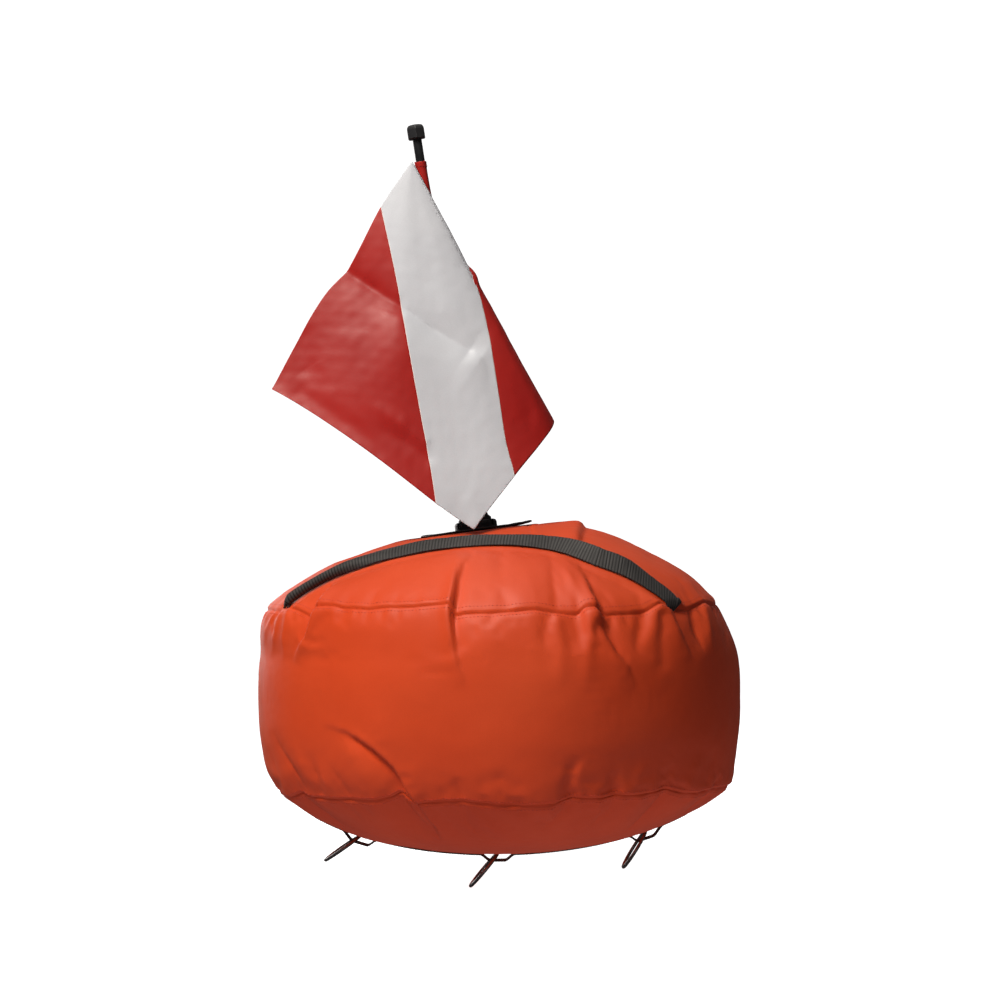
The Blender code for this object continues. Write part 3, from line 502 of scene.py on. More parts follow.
def skin_grid(panels, na):
    """Points and outward normals on rows (panel, u) at na azimuths, and each row's data."""
    a = np.arange(na) * 2 * math.pi / na
    pts, nrm = [], []
    for panel, u in panels:
        e = 2e-3
        u0, u1 = max(u - e, 1e-4), min(u + e, 1 - 1e-4)
        p = skin(panel, np.full(na, u), a)
        du = skin(panel, np.full(na, u1), a) - skin(panel, np.full(na, u0), a)
        da = skin(panel, np.full(na, u), a + 1e-3) - skin(panel, np.full(na, u), a - 1e-3)
        n = np.cross(du, da)
        n /= np.maximum(np.linalg.norm(n, axis=1, keepdims=True), 1e-12)
        if panel == 0 and u < 0.02:
            n = np.tile([-math.sin(math.radians(PLATE_TILT)), 0, math.cos(math.radians(PLATE_TILT))], (na, 1))
        if panel == 2 and u > 0.98:
            n = np.tile([0.0, 0, -1.0], (na, 1))
        pts.append(p)
        nrm.append(n)
    return np.array(pts), np.array(nrm), a


def seam_shift(table, x, amp):
    """Height that the seam moves by, over the azimuth: the front follows the table."""
    return np.interp(x, [t[0] for t in table], [t[1] for t in table]) * amp


# The seams' own waviness, as (x in metres, height in metres) over the front
TOP_SEAM = [(px, -dy) for px, dy in (
    (-0.322, -0.0008), (-0.300, 0.0011), (-0.281, -0.0044), (-0.273, -0.0030), (-0.262, 0.0018), (-0.2489, 0.0080),
    (-0.242, -0.0048), (-0.230, -0.0076), (-0.2165, -0.0083), (-0.205, -0.0054), (-0.183, -0.0040), (-0.165, -0.0033),
    (-0.140, -0.0060), (-0.123, -0.0054), (-0.104, -0.0063), (-0.075, -0.0087), (-0.0545, -0.0078), (-0.0506, 0.0053),
    (-0.027, 0.0035), (-0.0044, 0.0038), (0.039, 0.0016), (0.0613, -0.0001), (0.0766, 0.0028), (0.0928, 0.0050),
    (0.1132, 0.0089), (0.117, 0.0079), (0.1264, -0.0013), (0.143, -0.0005), (0.1534, 0.0090), (0.188, 0.0083),
    (0.2107, 0.0066), (0.2323, -0.0053), (0.240, -0.0021), (0.2735, 0.0056), (0.2994, -0.0037), (0.321, 0.0027),
)]
LOW_SEAM = [(px, -dy) for px, dy in (
    (-0.320, -0.0064), (-0.302, -0.0007), (-0.281, -0.0105), (-0.268, -0.0056), (-0.2405, -0.0053), (-0.204, -0.0081),
    (-0.173, -0.0092), (-0.1527, -0.0127), (-0.1375, -0.0200), (-0.1257, -0.0064), (-0.115, -0.0047), (-0.074, -0.0093),
    (-0.055, -0.0096), (-0.034, -0.0069), (-0.011, -0.0046), (0.024, -0.0017), (0.070, -0.0036), (0.084, -0.0081),
    (0.098, -0.0099), (0.135, -0.0075), (0.157, -0.0112), (0.178, -0.0090), (0.203, -0.0107), (0.225, -0.0134),
    (0.2456, -0.0070), (0.269, -0.0039), (0.291, -0.0067), (0.322, -0.0040),
)]
REAR_TOP = Waves(3, 14, 1.5, 9.0)
REAR_LOW = Waves(4, 14, 1.5, 9.0)


def seam_height(a, top):
    x = np.cos(a) * R_SEAM
    front = smooth((0.02 - np.sin(a) * R_SEAM) / 0.05)
    table = TOP_SEAM if top else LOW_SEAM
    wave = (REAR_TOP if top else REAR_LOW)(a / (2 * math.pi) * 2.0)
    return (
        np.interp(x, [t[0] for t in table], [t[1] for t in table]) * front
        + np.clip(wave, -1.2, 1.2) * 0.0042 * (1 - front)
    )


def handle_plan(x):
    return 0.1817 + 0.1073 * x - 0.1743 * x ** 2 - 0.557 * x ** 3 + 0.0170 * smooth((x - 0.070) / 0.075)


def handle_slope(x):
    return (handle_plan(x + 1e-4) - handle_plan(x - 1e-4)) / 2e-4


VALVE = np.array([-0.01496, 0.248, 0.47083])


def held_down(panel, p, a):
    """How much fabric is held at its place, 0 to 1: under webbing, the patch, the valve and the zip."""
    out = np.zeros(len(p))
    if panel == 0:
        x = np.clip(p[:, 0], -0.2985, 0.2565)
        for side in (-1, 1):
            y = side * handle_plan(x)
            d = np.hypot(p[:, 0] - x, (p[:, 1] - y) / np.hypot(1, handle_slope(x)))
            out = np.maximum(out, smooth((0.025 - d) / 0.010))
        d = np.hypot(p[:, 0] - APEX_X, p[:, 1])
        out = np.maximum(out, smooth((0.098 - d) / 0.012))
        d = np.linalg.norm(p - VALVE, axis=1)
        out = np.maximum(out, smooth((0.034 - d) / 0.010))
    elif panel == 1:
        deg = np.degrees(a)
        d = np.abs(p[:, 2] - ZIP_Z)
        side = np.maximum(np.maximum(28.0 - deg, deg - 152.0), 0.0) * 0.0061
        out = np.maximum(out, smooth((0.030 - np.hypot(d, side)) / 0.012))
    else:
        d = np.hypot(p[:, 1], np.maximum(np.abs(p[:, 0]) - 0.262, 0.0))
        out = np.maximum(out, smooth((0.026 - d) / 0.010))
        out = np.maximum(out, smooth((0.055 - np.hypot(p[:, 0], p[:, 1])) / 0.02))
    return out


# Folds of the front, in the photograph's frame: line, heights in mm, width, kind
FRONT_FOLDS = [
    # the upright tuck left of the middle
    ([(468, 688), (460, 664), (456, 648), (453.8, 632), (453, 622), (453, 614.5), (455.4, 607), (457.8, 592), (460, 577),
      (464, 565), (473, 556)],
     [0, 5.0, 7.5, 9.5, 11.0, 11.5, 11.5, 10.5, 8.5, 5.0, 0], 11.0, "r", 2.6),
    ([(454, 598), (452.8, 615), (453.2, 636)], [0, -4.0, 0], 3.5, "v", 0.8),
    ([(500, 546), (501, 562), (500, 586)], [-1.6, -2.4, 0], 8.0, "g", 1.0),
    ([(551, 553), (553, 575), (557, 604)], [-1.5, -3.0, -2.5], 5.0, "v", 1.4),
    ([(484, 590), (490, 640), (484, 690)], [0, 2.0, 0], 15.0, "g", 1.0),
    # the long pale crease on the left
    ([(341, 567), (332.6, 581), (324.4, 594.7), (316.2, 608), (310, 621), (304, 633.5), (298, 646), (290.7, 662)],
     [0, 7.0, 9.5, 11.0, 11.0, 10.0, 7.0, 0], 9.0, "r", 2.0),
    ([(316, 590), (306, 612), (296, 634)], [0, -2.2, 0], 8.0, "g", 1.0),
    # pleats under the handle's left end
    ([(289, 611), (284, 640), (283, 662)], [3.4, 3.4, 0], 2.4, "v", 0.5),
    ([(283, 611), (276, 634), (271, 656)], [3.6, 3.4, 0], 2.2, "v", 0.5),
    ([(277, 611), (268, 630), (264, 648)], [3.2, 3.0, 0], 2.0, "v", 0.5),
    ([(272, 611), (264, 626)], [2.6, 0], 2.0, "v", 0.5),
    ([(293, 611), (292, 640)], [-1.6, 0], 2.4, "v", 0.5),
    # the raised tuck right of the middle, from the dome down over the seam
    ([(581.5, 545), (582.5, 535), (585, 527), (588, 520), (592, 512)], [8.0, 12.0, 14.0, 14.0, 14.0], 22.0, "r", 3.4),
    ([(603, 613), (599, 606), (594.5, 597), (590, 584), (586, 574), (579, 562)], [8.0, 8.5, 8.0, 6.0, 3.5, 0], 10.0, "r", 3.0),
    ([(596, 583), (606, 593), (616, 605)], [0, -2.4, -1.2], 3.5, "v", 0.8),
    ([(614, 572), (622, 580), (632, 591)], [0, -1.8, 0], 4.0, "v", 1.0),
    ([(640, 690), (629, 665.5), (619.7, 651.7), (609.4, 635.6), (601, 617), (598, 608)],
     [0, 5.5, 8.0, 9.5, 9.0, 7.0], 13.0, "r", 5.0),
    ([(585, 606), (588, 622), (588, 650), (585, 690)], [2.0, 3.4, 2.8, 0], 7.0, "g", 1.0),
    ([(544, 612), (545, 640), (548, 672)], [-1.2, -2.6, 0], 8.0, "g", 1.0),
    ([(566, 556), (569, 580), (574, 606)], [0, 2.6, 2.4], 5.5, "g", 1.0),
    ([(530, 566), (524, 600), (522, 640)], [0, 1.6, 0], 12.0, "g", 1.0),
    ([(556, 618), (561, 650), (560, 690)], [2.0, 1.8, 0], 6.0, "g", 1.0),
    ([(644, 584), (652, 594), (657, 606), (652, 624), (648, 648)], [0, 2.5, 4.5, 3.6, 0], 9.0, "g", 1.2),
    ([(696, 660), (688.6, 645), (681.7, 631), (674, 617), (668, 606)], [0, 4.5, 7.5, 8.5, 6.0], 10.0, "r", 4.0),
    ([(657, 616), (662, 632), (664, 664)], [0, -3.2, -2.0], 6.0, "g", 1.0),
    ([(691, 611), (697, 630), (706, 655)], [-3.0, -5.0, 0], 4.5, "v", 0.9),
    ([(702, 605), (708, 630), (715, 656)], [4.0, 5.5, 0], 5.0, "v", 0.8),
    ([(640, 614), (638, 632), (640, 660)], [-1.6, -2.4, 0], 6.0, "g", 1.0),
    ([(716, 606), (726, 632), (731, 664)], [-1.0, -3.0, 0], 4.0, "v", 0.8),
    # the dome above the handle
    ([(531, 521), (533, 530), (534, 538)], [2.0, 2.4, 0], 3.0, "s", 0.7),
    ([(640, 545), (652, 556), (668, 572)], [0, -1.8, 0], 5.0, "g", 1.0),
    ([(676, 570), (690, 584), (706, 600)], [0, 2.0, 0], 4.0, "v", 0.8),
    # the big curved fold at the lower left
    ([(322, 724), (346, 732), (358, 739), (372.5, 750), (384, 763), (395.5, 780), (403, 792), (411, 803), (421, 813),
      (434, 829), (443, 842)],
     [0, 3.0, 6.0, 8.5, 9.5, 10.0, 9.5, 8.0, 6.0, 4.0, 0], 13.0, "s", 1.8),
    ([(345, 752), (374, 772), (392, 796), (398, 822)], [0, -2.0, -3.0, 0], 12.0, "g", 1.0),
    ([(430, 828), (416, 808), (403, 792), (395.5, 780), (384, 763), (372.5, 750), (358, 739), (340, 730)],
     [0, 7.0, 12.0, 13.0, 12.0, 9.0, 5.0, 0], 42.0, "r", 14.0),
    ([(335, 728), (355, 757), (372, 790)], [0, 3.6, 0], 9.0, "g", 1.0),
    ([(272, 728), (279, 747), (288, 764.6), (296.6, 780), (305, 793)], [0, -4.0, -5.5, -5.5, -2.5], 4.6, "v", 1.0),
    ([(291, 742), (302, 766), (313, 790)], [0, 2.6, 0], 5.0, "g", 1.0),
    ([(309, 752), (314.5, 774), (322, 797)], [0, -4.4, -2.6], 4.0, "v", 0.9),
    ([(317, 760), (324, 780), (331, 799)], [0, 2.4, 1.0], 3.6, "v", 0.9),
    ([(328, 764), (340, 784), (350, 799)], [0, -3.4, -1.6], 5.0, "v", 1.0),
    ([(268, 745), (274, 765), (282, 786)], [0, -3.4, -1.5], 4.0, "v", 0.8),
    ([(355, 700), (380, 726), (412, 752)], [0, 2.4, 0], 18.0, "g", 1.0),
    # soft drapes under the lower seam
    ([(330, 803), (345, 818), (372, 836)], [-1.5, -2.2, 0], 6.0, "g", 1.0),
    ([(300, 797), (320, 812), (340, 826)], [1.4, 1.8, 0], 4.5, "g", 1.0),
    ([(420, 806), (452, 830), (486, 850)], [-3.0, -4.2, 0], 7.0, "g", 1.0),
    ([(452, 804), (492, 828), (530, 848)], [2.0, 3.4, 0], 7.0, "g", 1.0),
    ([(300, 800), (330, 818), (362, 835)], [-2.4, -3.4, 0], 5.0, "g", 1.0),
    ([(388, 806), (404, 822), (424, 842)], [-3.0, -5.0, 0], 8.0, "g", 1.0),
    ([(520, 806), (548, 828), (584, 842)], [-1.6, -2.6, 0], 8.0, "g", 1.0),
    ([(640, 808), (626, 822), (600, 838)], [2.0, 2.6, 0], 7.0, "g", 1.0),
    # dents above the lower seam, right of the middle
    ([(582, 758), (573, 773), (567, 798)], [0, -4.6, -3.6], 7.0, "g", 1.0),
    ([(592, 756), (580, 772), (574, 797)], [0, 2.0, 1.2], 4.0, "v", 1.2),
    ([(560, 806), (568, 812), (574, 800)], [-2.0, -2.4, -1.0], 4.0, "g", 1.0),
    ([(600, 812), (614, 806), (620, 797)], [0, -2.6, -2.0], 4.0, "g", 1.0),
    ([(655, 803), (664, 797), (672, 791)], [0, -2.6, -2.0], 3.6, "g", 1.0),
    ([(575, 790), (640, 776), (720, 752)], [-3.0, -5.5, 0], 32.0, "g", 1.0),
    ([(622, 770), (614, 785), (612, 797)], [0, -3.2, -2.4], 6.0, "g", 1.0),
    ([(650, 764), (640, 780), (636, 794)], [0, 2.4, 1.0], 6.0, "g", 1.0),
    ([(676, 766), (668, 780), (662, 792)], [0, -3.0, -2.0], 5.0, "v", 1.4),
    ([(703, 755), (696, 772), (690, 790)], [0, 2.4, 1.2], 5.0, "g", 1.0),
    ([(716, 748), (712, 765), (706, 785)], [0, -2.6, -2.0], 4.0, "v", 1.2),
    ([(476, 786), (500, 782), (528, 790)], [0, -2.4, 0], 8.0, "g", 1.0),
    ([(575, 800), (566, 812), (556, 824)], [-2.0, -1.4, 0], 5.0, "g", 1.0),
    ([(628, 797), (612, 812), (596, 826)], [1.5, 1.5, 0], 6.0, "g", 1.0),
    ([(680, 792), (660, 806), (640, 822)], [-1.6, -1.6, 0], 6.0, "g", 1.0),
    # broad unevenness of the front
    ([(300, 690), (380, 700), (460, 690)], [0, 2.0, 0], 40.0, "g", 1.0),
    ([(520, 720), (600, 735), (680, 715)], [0, -1.6, 0], 30.0, "g", 1.0),
]


def rear_folds():
    """Folds of the sides and rear, over (arc in mm, distance down in mm from the upper or lower seam)."""
    rng = np.random.RandomState(11)
    folds = []
    for top in (True, False):
        at = -20.0
        while at < 1130.0:
            at += rng.uniform(20, 52)
            up = rng.uniform(20, 75)
            down = rng.uniform(26, 85)
            lean = rng.uniform(-22, 22)
            bend = rng.uniform(-8, 8)
            kind = ("v", "g", "s", "g")[rng.randint(4)]
            amp = rng.uniform(1.8, 5.2) * (1 if rng.rand() < 0.45 else -1)
            width = rng.uniform(6, 13) if kind != "g" else rng.uniform(9, 20)
            folds.append((top, [
                (at - lean, -up), (at - lean / 2 + bend, -up / 2), (at, 0.0),
                (at + lean / 2 - bend, down / 2), (at + lean, down)],
                [0, amp * 0.7, amp, amp * 0.6, 0], width, kind, 1.6))
    return folds


REAR_FOLDS = rear_folds()
PUCKER = {k: (Waves(20 + k, 34, 0.035, 0.110), Waves(40 + k, 20, 0.012, 0.034)) for k in range(4)}
BROAD = Waves(61, 26, 1.2, 5.5, dims=2)
SMALL = Waves(62, 40, 8.0, 26.0, dims=2)


def fold_heights(panel, u, p, a, px, base_p):
    """Height of all folds at points of one row, in metres."""
    h = np.zeros(len(p))
    arc = R_SEAM * 1000 * a
    if panel == 0:
        to_seam = (1 - u) * R_SEAM * 1000 * 1.08
        down = -to_seam
    elif panel == 1:
        down = u * BAND_H * 1000
        to_seam = min(u, 1 - u) * BAND_H * 1000 * 1.02
    else:
        to_seam = u * R_SEAM * 1000 * 1.03
        down = to_seam
    front = smooth((0.045 - base_p[:, 1]) / 0.09)
    if front.max() > 0:
        f = np.zeros(len(p))
        for pts, amps, width, kind, core in FRONT_FOLDS:
            f += crease(px, pts, amps, width, kind, core)
        h += f * front
    if front.min() < 1:
        q = np.zeros((len(p), 2))
        f = np.zeros(len(p))
        for top, pts, amps, width, kind, core in REAR_FOLDS:
            if top:
                v = down if panel < 2 else None
            else:
                v = None if panel == 0 else (down - BAND_H * 1000 if panel == 1 else down)
            if v is None:
                continue
            q[:, 0], q[:, 1] = arc, v
            f += crease(q, pts, amps, width, kind, core)
        h += f * (1 - front)
    # gathers along the seams
    which = (0, 1 if u < 0.5 else 2, 3)[panel]
    fine, wide = PUCKER[which]
    w1, w2 = fine(arc), wide(arc)
    crisp = (0.5 - np.abs(w1) ** 0.7) * (1 - 0.55 * front)
    w2 = w2 * (1 - 0.6 * front)
    h += crisp * 0.7 * math.exp(-(to_seam / 9.0) ** 1.3) * (1 - math.exp(-(to_seam / 1.5) ** 2) * 0.5)
    h += w2 * 1.3 * math.exp(-(to_seam / 34.0) ** 1.5)
    h += BROAD(base_p[:, 0] + base_p[:, 1] * 0.31, base_p[:, 2] + base_p[:, 1] * 0.77) * 1.1
    h += SMALL(base_p[:, 0] + base_p[:, 1] * 0.5, base_p[:, 2] - base_p[:, 1] * 0.83) * 0.16
    return h * 0.001


def seam_offset(rows_p, panel, u, a):
    """Moves a row up or down with the wavy seams."""
    if panel == 0:
        reach = (1 - u) * R_SEAM
        ease = 1 - 0.45 * float(smooth(reach / 0.012))
        return seam_height(a, True) * math.exp(-(reach / 0.055) ** 2) * ease
    if panel == 1:
        d0, d1 = u * BAND_H, (1 - u) * BAND_H
        return seam_height(a, True) * math.exp(-(d0 / 0.055) ** 2) + seam_height(a, False) * math.exp(
            -(d1 / 0.055) ** 2
        )
    reach = u * R_SEAM
    return seam_height(a, False) * math.exp(-(reach / 0.055) ** 2)


SIM_ROWS = (42, 36, 42)
SIM_A = 256


def sim_panels():
    rows = []
    for panel, n in enumerate(SIM_ROWS):
        for k in range(n):
            if panel > 0 and k == 0:
                continue
            rows.append((panel, k / (n - 1)))
    return rows


def simulate_cover():
    """Inflates the cover as cloth held at its seams, webbing, patch and zip, and returns how far each point moved."""
    panels = sim_panels()
    base, normal, a = skin_grid(panels, SIM_A)
    start = base.copy()
    pins = []
    rng = np.random.RandomState(5)
    for i, (panel, u) in enumerate(panels):
        seam = {0: (1 - u) * R_SEAM, 1: min(u, 1 - u) * BAND_H, 2: u * R_SEAM}[panel]
        held = held_down(panel, base[i], a)
        held = np.maximum(held, 1.0 if seam < 1e-6 else 0.0)
        inset = 0.0065 * smooth(np.full(SIM_A, seam / 0.07)) * (1 - held)
        seed = fold_heights(panel, u, base[i], a, pixels(base[i]), base[i]) * 0.45
        start[i] += normal[i] * (seed * (1 - held) - inset)[:, None]
        start[i, :, 2] += seam_offset(None, panel, u, a) * (1 - held * (seam > 1e-6))
        pins.append(held)
    pins = np.array(pins)
    n_rows = len(panels)
    # the centre rows become single points
    verts = start[1:-1].reshape(-1, 3)
    verts = np.concatenate([verts, start[:1].mean(axis=1), start[-1:].mean(axis=1)])
    weights = np.concatenate([pins[1:-1].ravel(), [1.0, 1.0]])
    m = n_rows - 2
    faces = []
    for i in range(m - 1):
        for j in range(SIM_A):
            k = (j + 1) % SIM_A
            faces.append((i * SIM_A + j, (i + 1) * SIM_A + j, (i + 1) * SIM_A + k, i * SIM_A + k))
    top, low = m * SIM_A, m * SIM_A + 1
    for j in range(SIM_A):
        k = (j + 1) % SIM_A
        faces.append((top, j, k))
        faces.append(((m - 1) * SIM_A + k, (m - 1) * SIM_A + j, low))
    obj = link("cover_simulation", verts, faces, ORANGE)
    group = obj.vertex_groups.new(name="held")
    levels = np.round(weights * 20) / 20
    for w in np.unique(levels):
        if w > 0.4:
            group.add([int(v) for v in np.where(levels == w)[0]], 1.0, "REPLACE")
    cloth = obj.modifiers.new("inflate", "CLOTH")
    s = cloth.settings
    s.quality = 5
    s.mass = 0.2
    s.air_damping = 3.0
    s.tension_stiffness = s.compression_stiffness = 30.0
    s.shear_stiffness = 12.0
    s.bending_stiffness = 0.6
    s.tension_damping = s.compression_damping = 8.0
    s.shear_damping = 8.0
    s.bending_damping = 1.0
    s.vertex_group_mass = "held"
    s.use_pressure = True
    s.uniform_pressure_force = 5.0
    s.shrink_min = -0.013
    s.effector_weights.gravity = 0.0
    cloth.collision_settings.use_collision = False
    cloth.collision_settings.use_self_collision = False
    scene = bpy.context.scene
    cloth.point_cache.frame_start = 1
    cloth.point_cache.frame_end = 30
    for f in range(1, 24):
        scene.frame_set(f)
    dg = bpy.context.evaluated_depsgraph_get()
    ev = obj.evaluated_get(dg)
    out = np.zeros(len(ev.data.vertices) * 3)
    ev.data.vertices.foreach_get("co", out)
    out = out.reshape(-1, 3)
    scene.frame_set(1)
    bpy.data.objects.remove(obj, do_unlink=True)
    moved = np.zeros_like(base)
    move = out - verts
    length = np.linalg.norm(move, axis=1, keepdims=True)
    cap = 0.022
    move *= cap * np.tanh(length / cap) / np.maximum(length, 1e-9)
    end = verts + move
    moved[1:-1] = end[:-2].reshape(m, SIM_A, 3)
    moved[0] = end[-2]
    moved[-1] = end[-1]
    return moved - base


def fine_rows(step=0.0040):
    rows = []
    near = [0.0, 0.0011, 0.0024, 0.0042, 0.0065, 0.0095]
    for panel, length in ((0, R_SEAM * 1.0), (1, BAND_H), (2, R_SEAM)):
        if panel == 1:
            inner = np.arange(near[-1], length - near[-1], (length - 2 * near[-1]) / round((length - 2 * near[-1]) / step))
            ds = near[:-1] + list(inner) + [length - d for d in reversed(near)]
            rows += [(1, d / length) for d in ds]
        else:
            count = round((length - near[-1]) / step)
            inner = [near[-1] + (length - near[-1]) * k / count for k in range(count + 1)]
            ds = near[:-1] + inner
            us = [1 - d / length for d in ds] if panel == 0 else [d / length for d in ds]
            us = sorted(us)
            us = [min(max(u, 0.0), 1.0) for u in us]
            if panel == 0:
                us = us[:-1]
            else:
                us = us[1:]
            rows += [(panel, u) for u in us]
    return rows


NA = 640


def build_cover():
    panels = fine_rows(0.0040)
    na = NA
    base, normal, a = skin_grid(panels, na)
    shape = base.copy()
    sim = simulate_cover()
    coarse = {}
    if sim is not None:
        k = 0
        for panel, n in enumerate(SIM_ROWS):
            first = k if panel == 0 else k - 1
            coarse[panel] = sim[first:first + n]
            k = first + n
    at = a / (2 * math.pi) * SIM_A
    helds = [held_down(panel, base[i], a) for i, (panel, u) in enumerate(panels)]
    if sim is not None:
        # the air makes folds here, and the cut keeps the size
        deltas, means = [], np.zeros(len(panels))
        for i, (panel, u) in enumerate(panels):
            block = coarse[panel]
            row = catmull(block, np.array([u * (len(block) - 1)]), False)[0]
            delta = catmull(row, at, True)
            deltas.append(delta)
            free = (1 - helds[i]) * (1.0 if panel != 1 else (np.sin(a) < 0.35))
            means[i] = ((delta * normal[i]).sum(axis=1) * free).sum() / max(free.sum(), 1e-6)
        for panel in range(3):
            mine = [i for i, q in enumerate(panels) if q[0] == panel]
            means[mine] = blur(means[mine], 4.0)
    for i, (panel, u) in enumerate(panels):
        held = helds[i]
        seam = {0: (1 - u) * R_SEAM, 1: min(u, 1 - u) * BAND_H, 2: u * R_SEAM}[panel]
        px = pixels(base[i])
        blown = np.zeros(na)
        if sim is not None:
            front = smooth((0.045 - base[i][:, 1]) / 0.09)
            tuck = np.exp(-(((px[:, 0] - 432) / 48) ** 2) - ((px[:, 1] - 636) / 36) ** 2)
            low = np.exp(-(((px[:, 0] - 365) / 90) ** 2) - ((px[:, 1] - 790) / 38) ** 2)
            calm = 0.6 if panel == 0 else np.maximum(0.9 * tuck, 0.7 * low) if panel == 1 else 0.7 * low
            blown = 1 - front * calm
            shape[i] += (deltas[i] - normal[i] * (means[i] * (1 - held))[:, None]) * blown[:, None]
        shape[i, :, 2] += seam_offset(None, panel, u, a) * (1 - held * (seam > 1e-6)) * (1 - blown)
        h = fold_heights(panel, u, base[i], a, px, base[i])
        h *= (1 - held) * (0.62 if sim is not None else 1.0)
        shape[i] += normal[i] * h[:, None]
        # the sewn groove
        depth = 0.0030 * math.exp(-(seam / 0.0017) ** 1.2) - 0.0006 * math.exp(-(((seam - 0.0048) / 0.0018) ** 2))
        if panel == 0:
            depth = 0.35 * depth - 0.0013 * math.exp(-seam / 0.006)
        elif panel == 1 and u < 0.5:
            depth = 0.0026 * math.exp(-seam / 0.0045) - 0.0012 * math.exp(-seam / 0.0004)
        shape[i] -= normal[i] * depth
        # never through what lies on the fabric
        out = ((shape[i] - base[i]) * normal[i]).sum(axis=1)
        limit = 0.0105 - held * 0.0109
        if panel == 2:
            limit -= (1 - held) * 0.0095 * smooth((0.18 - np.abs(base[i][:, 1])) / 0.07)
        shape[i] -= normal[i] * np.maximum(out - limit, 0)[:, None]
    m = len(panels)
    verts = shape[1:-1].reshape(-1, 3)
    verts = np.concatenate([verts, shape[:1].mean(axis=1), shape[-1:].mean(axis=1)])
    rows = m - 2
    i, j = np.meshgrid(np.arange(rows - 1), np.arange(na), indexing="ij")
    k = (j + 1) % na
    faces = np.stack([i * na + j, (i + 1) * na + j, (i + 1) * na + k, i * na + k], axis=-1).reshape(-1, 4)
    faces = [tuple(f) for f in faces.tolist()]
    top, low = rows * na, rows * na + 1
    for j in range(na):
        k = (j + 1) % na
        faces.append((top, j, k))
        faces.append(((rows - 1) * na + k, (rows - 1) * na + j, low))
    # the weave runs straight across the top and bottom, and round the band
    uv = []
    for panel, u in panels[1:-1]:
        if panel == 1:
            uv.append(np.stack([R_SEAM * a, np.full(na, -u * BAND_H)], axis=1))
        else:
            r = (u if panel == 0 else 1 - u) * R_SEAM
            uv.append(np.stack([r * np.cos(a), r * np.sin(a)], axis=1))
    uv = np.concatenate(uv + [np.zeros((2, 2))])
    obj = link("cover", verts, faces, ORANGE, uvs=uv)
    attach(obj, "float")
    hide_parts("cover_top_panel", "cover_side_band", "cover_bottom_panel")
    return obj, panels, shape, normal, a


# ------------------------------------------------------------ tools for pieces
def grid_faces(rows, cols, wrap=False, start=0, flip=False):
    """Quads over rows x cols points, closed along the columns if wrap."""
    i, j = np.meshgrid(np.arange(rows - 1), np.arange(cols if wrap else cols - 1), indexing="ij")
    k = (j + 1) % cols
    f = np.stack([i * cols + j, (i + 1) * cols + j, (i + 1) * cols + k, i * cols + k], axis=-1).reshape(-1, 4)
    if flip:
        f = f[:, ::-1]
    return (f + start).tolist()


def outward_faces(obj):
    """Turns all faces of closed pieces to the outside."""
    bm = bmesh.new()
    bm.from_mesh(obj.data)
    bmesh.ops.recalc_face_normals(bm, faces=bm.faces)
    bm.to_mesh(obj.data)
    bm.free()
    return obj


def blur(values, width):
    """Smooths a line of values by a bell of that many samples."""
    reach = int(3 * width) + 1
    bell = np.exp(-0.5 * (np.arange(-reach, reach + 1) / width) ** 2)
    bell /= bell.sum()
    return np.convolve(np.pad(values, reach, mode="edge"), bell, mode="valid")


def unit(v):
    return v / np.maximum(np.linalg.norm(v, axis=-1, keepdims=True), 1e-12)


def stitches(points, normals, length=0.0038, pitch=0.0054, radius=0.00040, start=0.0, closed=False):
    """Thread lying along a dense line: each stitch rises out of the cloth and dives back in."""
    if closed:
        points = np.concatenate([points, points[:1]])
        normals = np.concatenate([normals, normals[:1]])
    s = np.concatenate([[0], np.cumsum(np.linalg.norm(np.diff(points, axis=0), axis=1))])
    count = max(int((s[-1] - start - length) / pitch) + 1, 1)
    if closed:
        count = round(s[-1] / pitch)
        pitch = s[-1] / count
        length = min(length, pitch * 0.74)
    f = np.linspace(0, 1, 6)
    at = (start + np.arange(count)[:, None] * pitch + f[None] * length).ravel()
    p = np.stack([np.interp(at, s, points[:, c]) for c in range(3)], axis=1)
    n = unit(np.stack([np.interp(at, s, normals[:, c]) for c in range(3)], axis=1))
    q = np.stack([np.interp(at + 0.0004, s, points[:, c]) for c in range(3)], axis=1)
    r = np.stack([np.interp(at - 0.0004, s, points[:, c]) for c in range(3)], axis=1)
    t = unit(q - r)
    side = unit(np.cross(n, t))
    n = np.cross(t, side)
    rise = np.tile(-0.75 + 1.35 * np.sin(math.pi * f) ** 0.6, count)
    fat = np.tile(0.55 + 0.45 * np.sin(math.pi * f) ** 0.5, count)
    b = np.arange(6) * math.pi / 3
    ring = (
        p[:, None] + n[:, None] * (rise[:, None] * radius + np.sin(b) * fat[:, None] * radius)[..., None]
        + side[:, None] * (np.cos(b) * fat[:, None] * radius)[..., None]
    )
    verts = ring.reshape(-1, 3)
    base = np.array(grid_faces(6, 6, wrap=True))
    faces = (base[None] + (np.arange(count) * 36)[:, None, None]).reshape(-1, 4).tolist()
    for k in range(count):
        o = k * 36
        faces.append(list(range(o, o + 6)))
        faces.append(list(range(o + 35, o + 29, -1)))
    return verts, faces


def sew(name, runs, mat, body):
    """One object from several runs of stitches."""
    verts, faces, n = [], [], 0
    for v, f in runs:
        verts.append(v)
        faces += [[i + n for i in face] for face in f]
        n += len(v)
    obj = link(name, np.concatenate(verts), faces, mat)
    outward_faces(obj)
    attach(obj, body)
    return obj


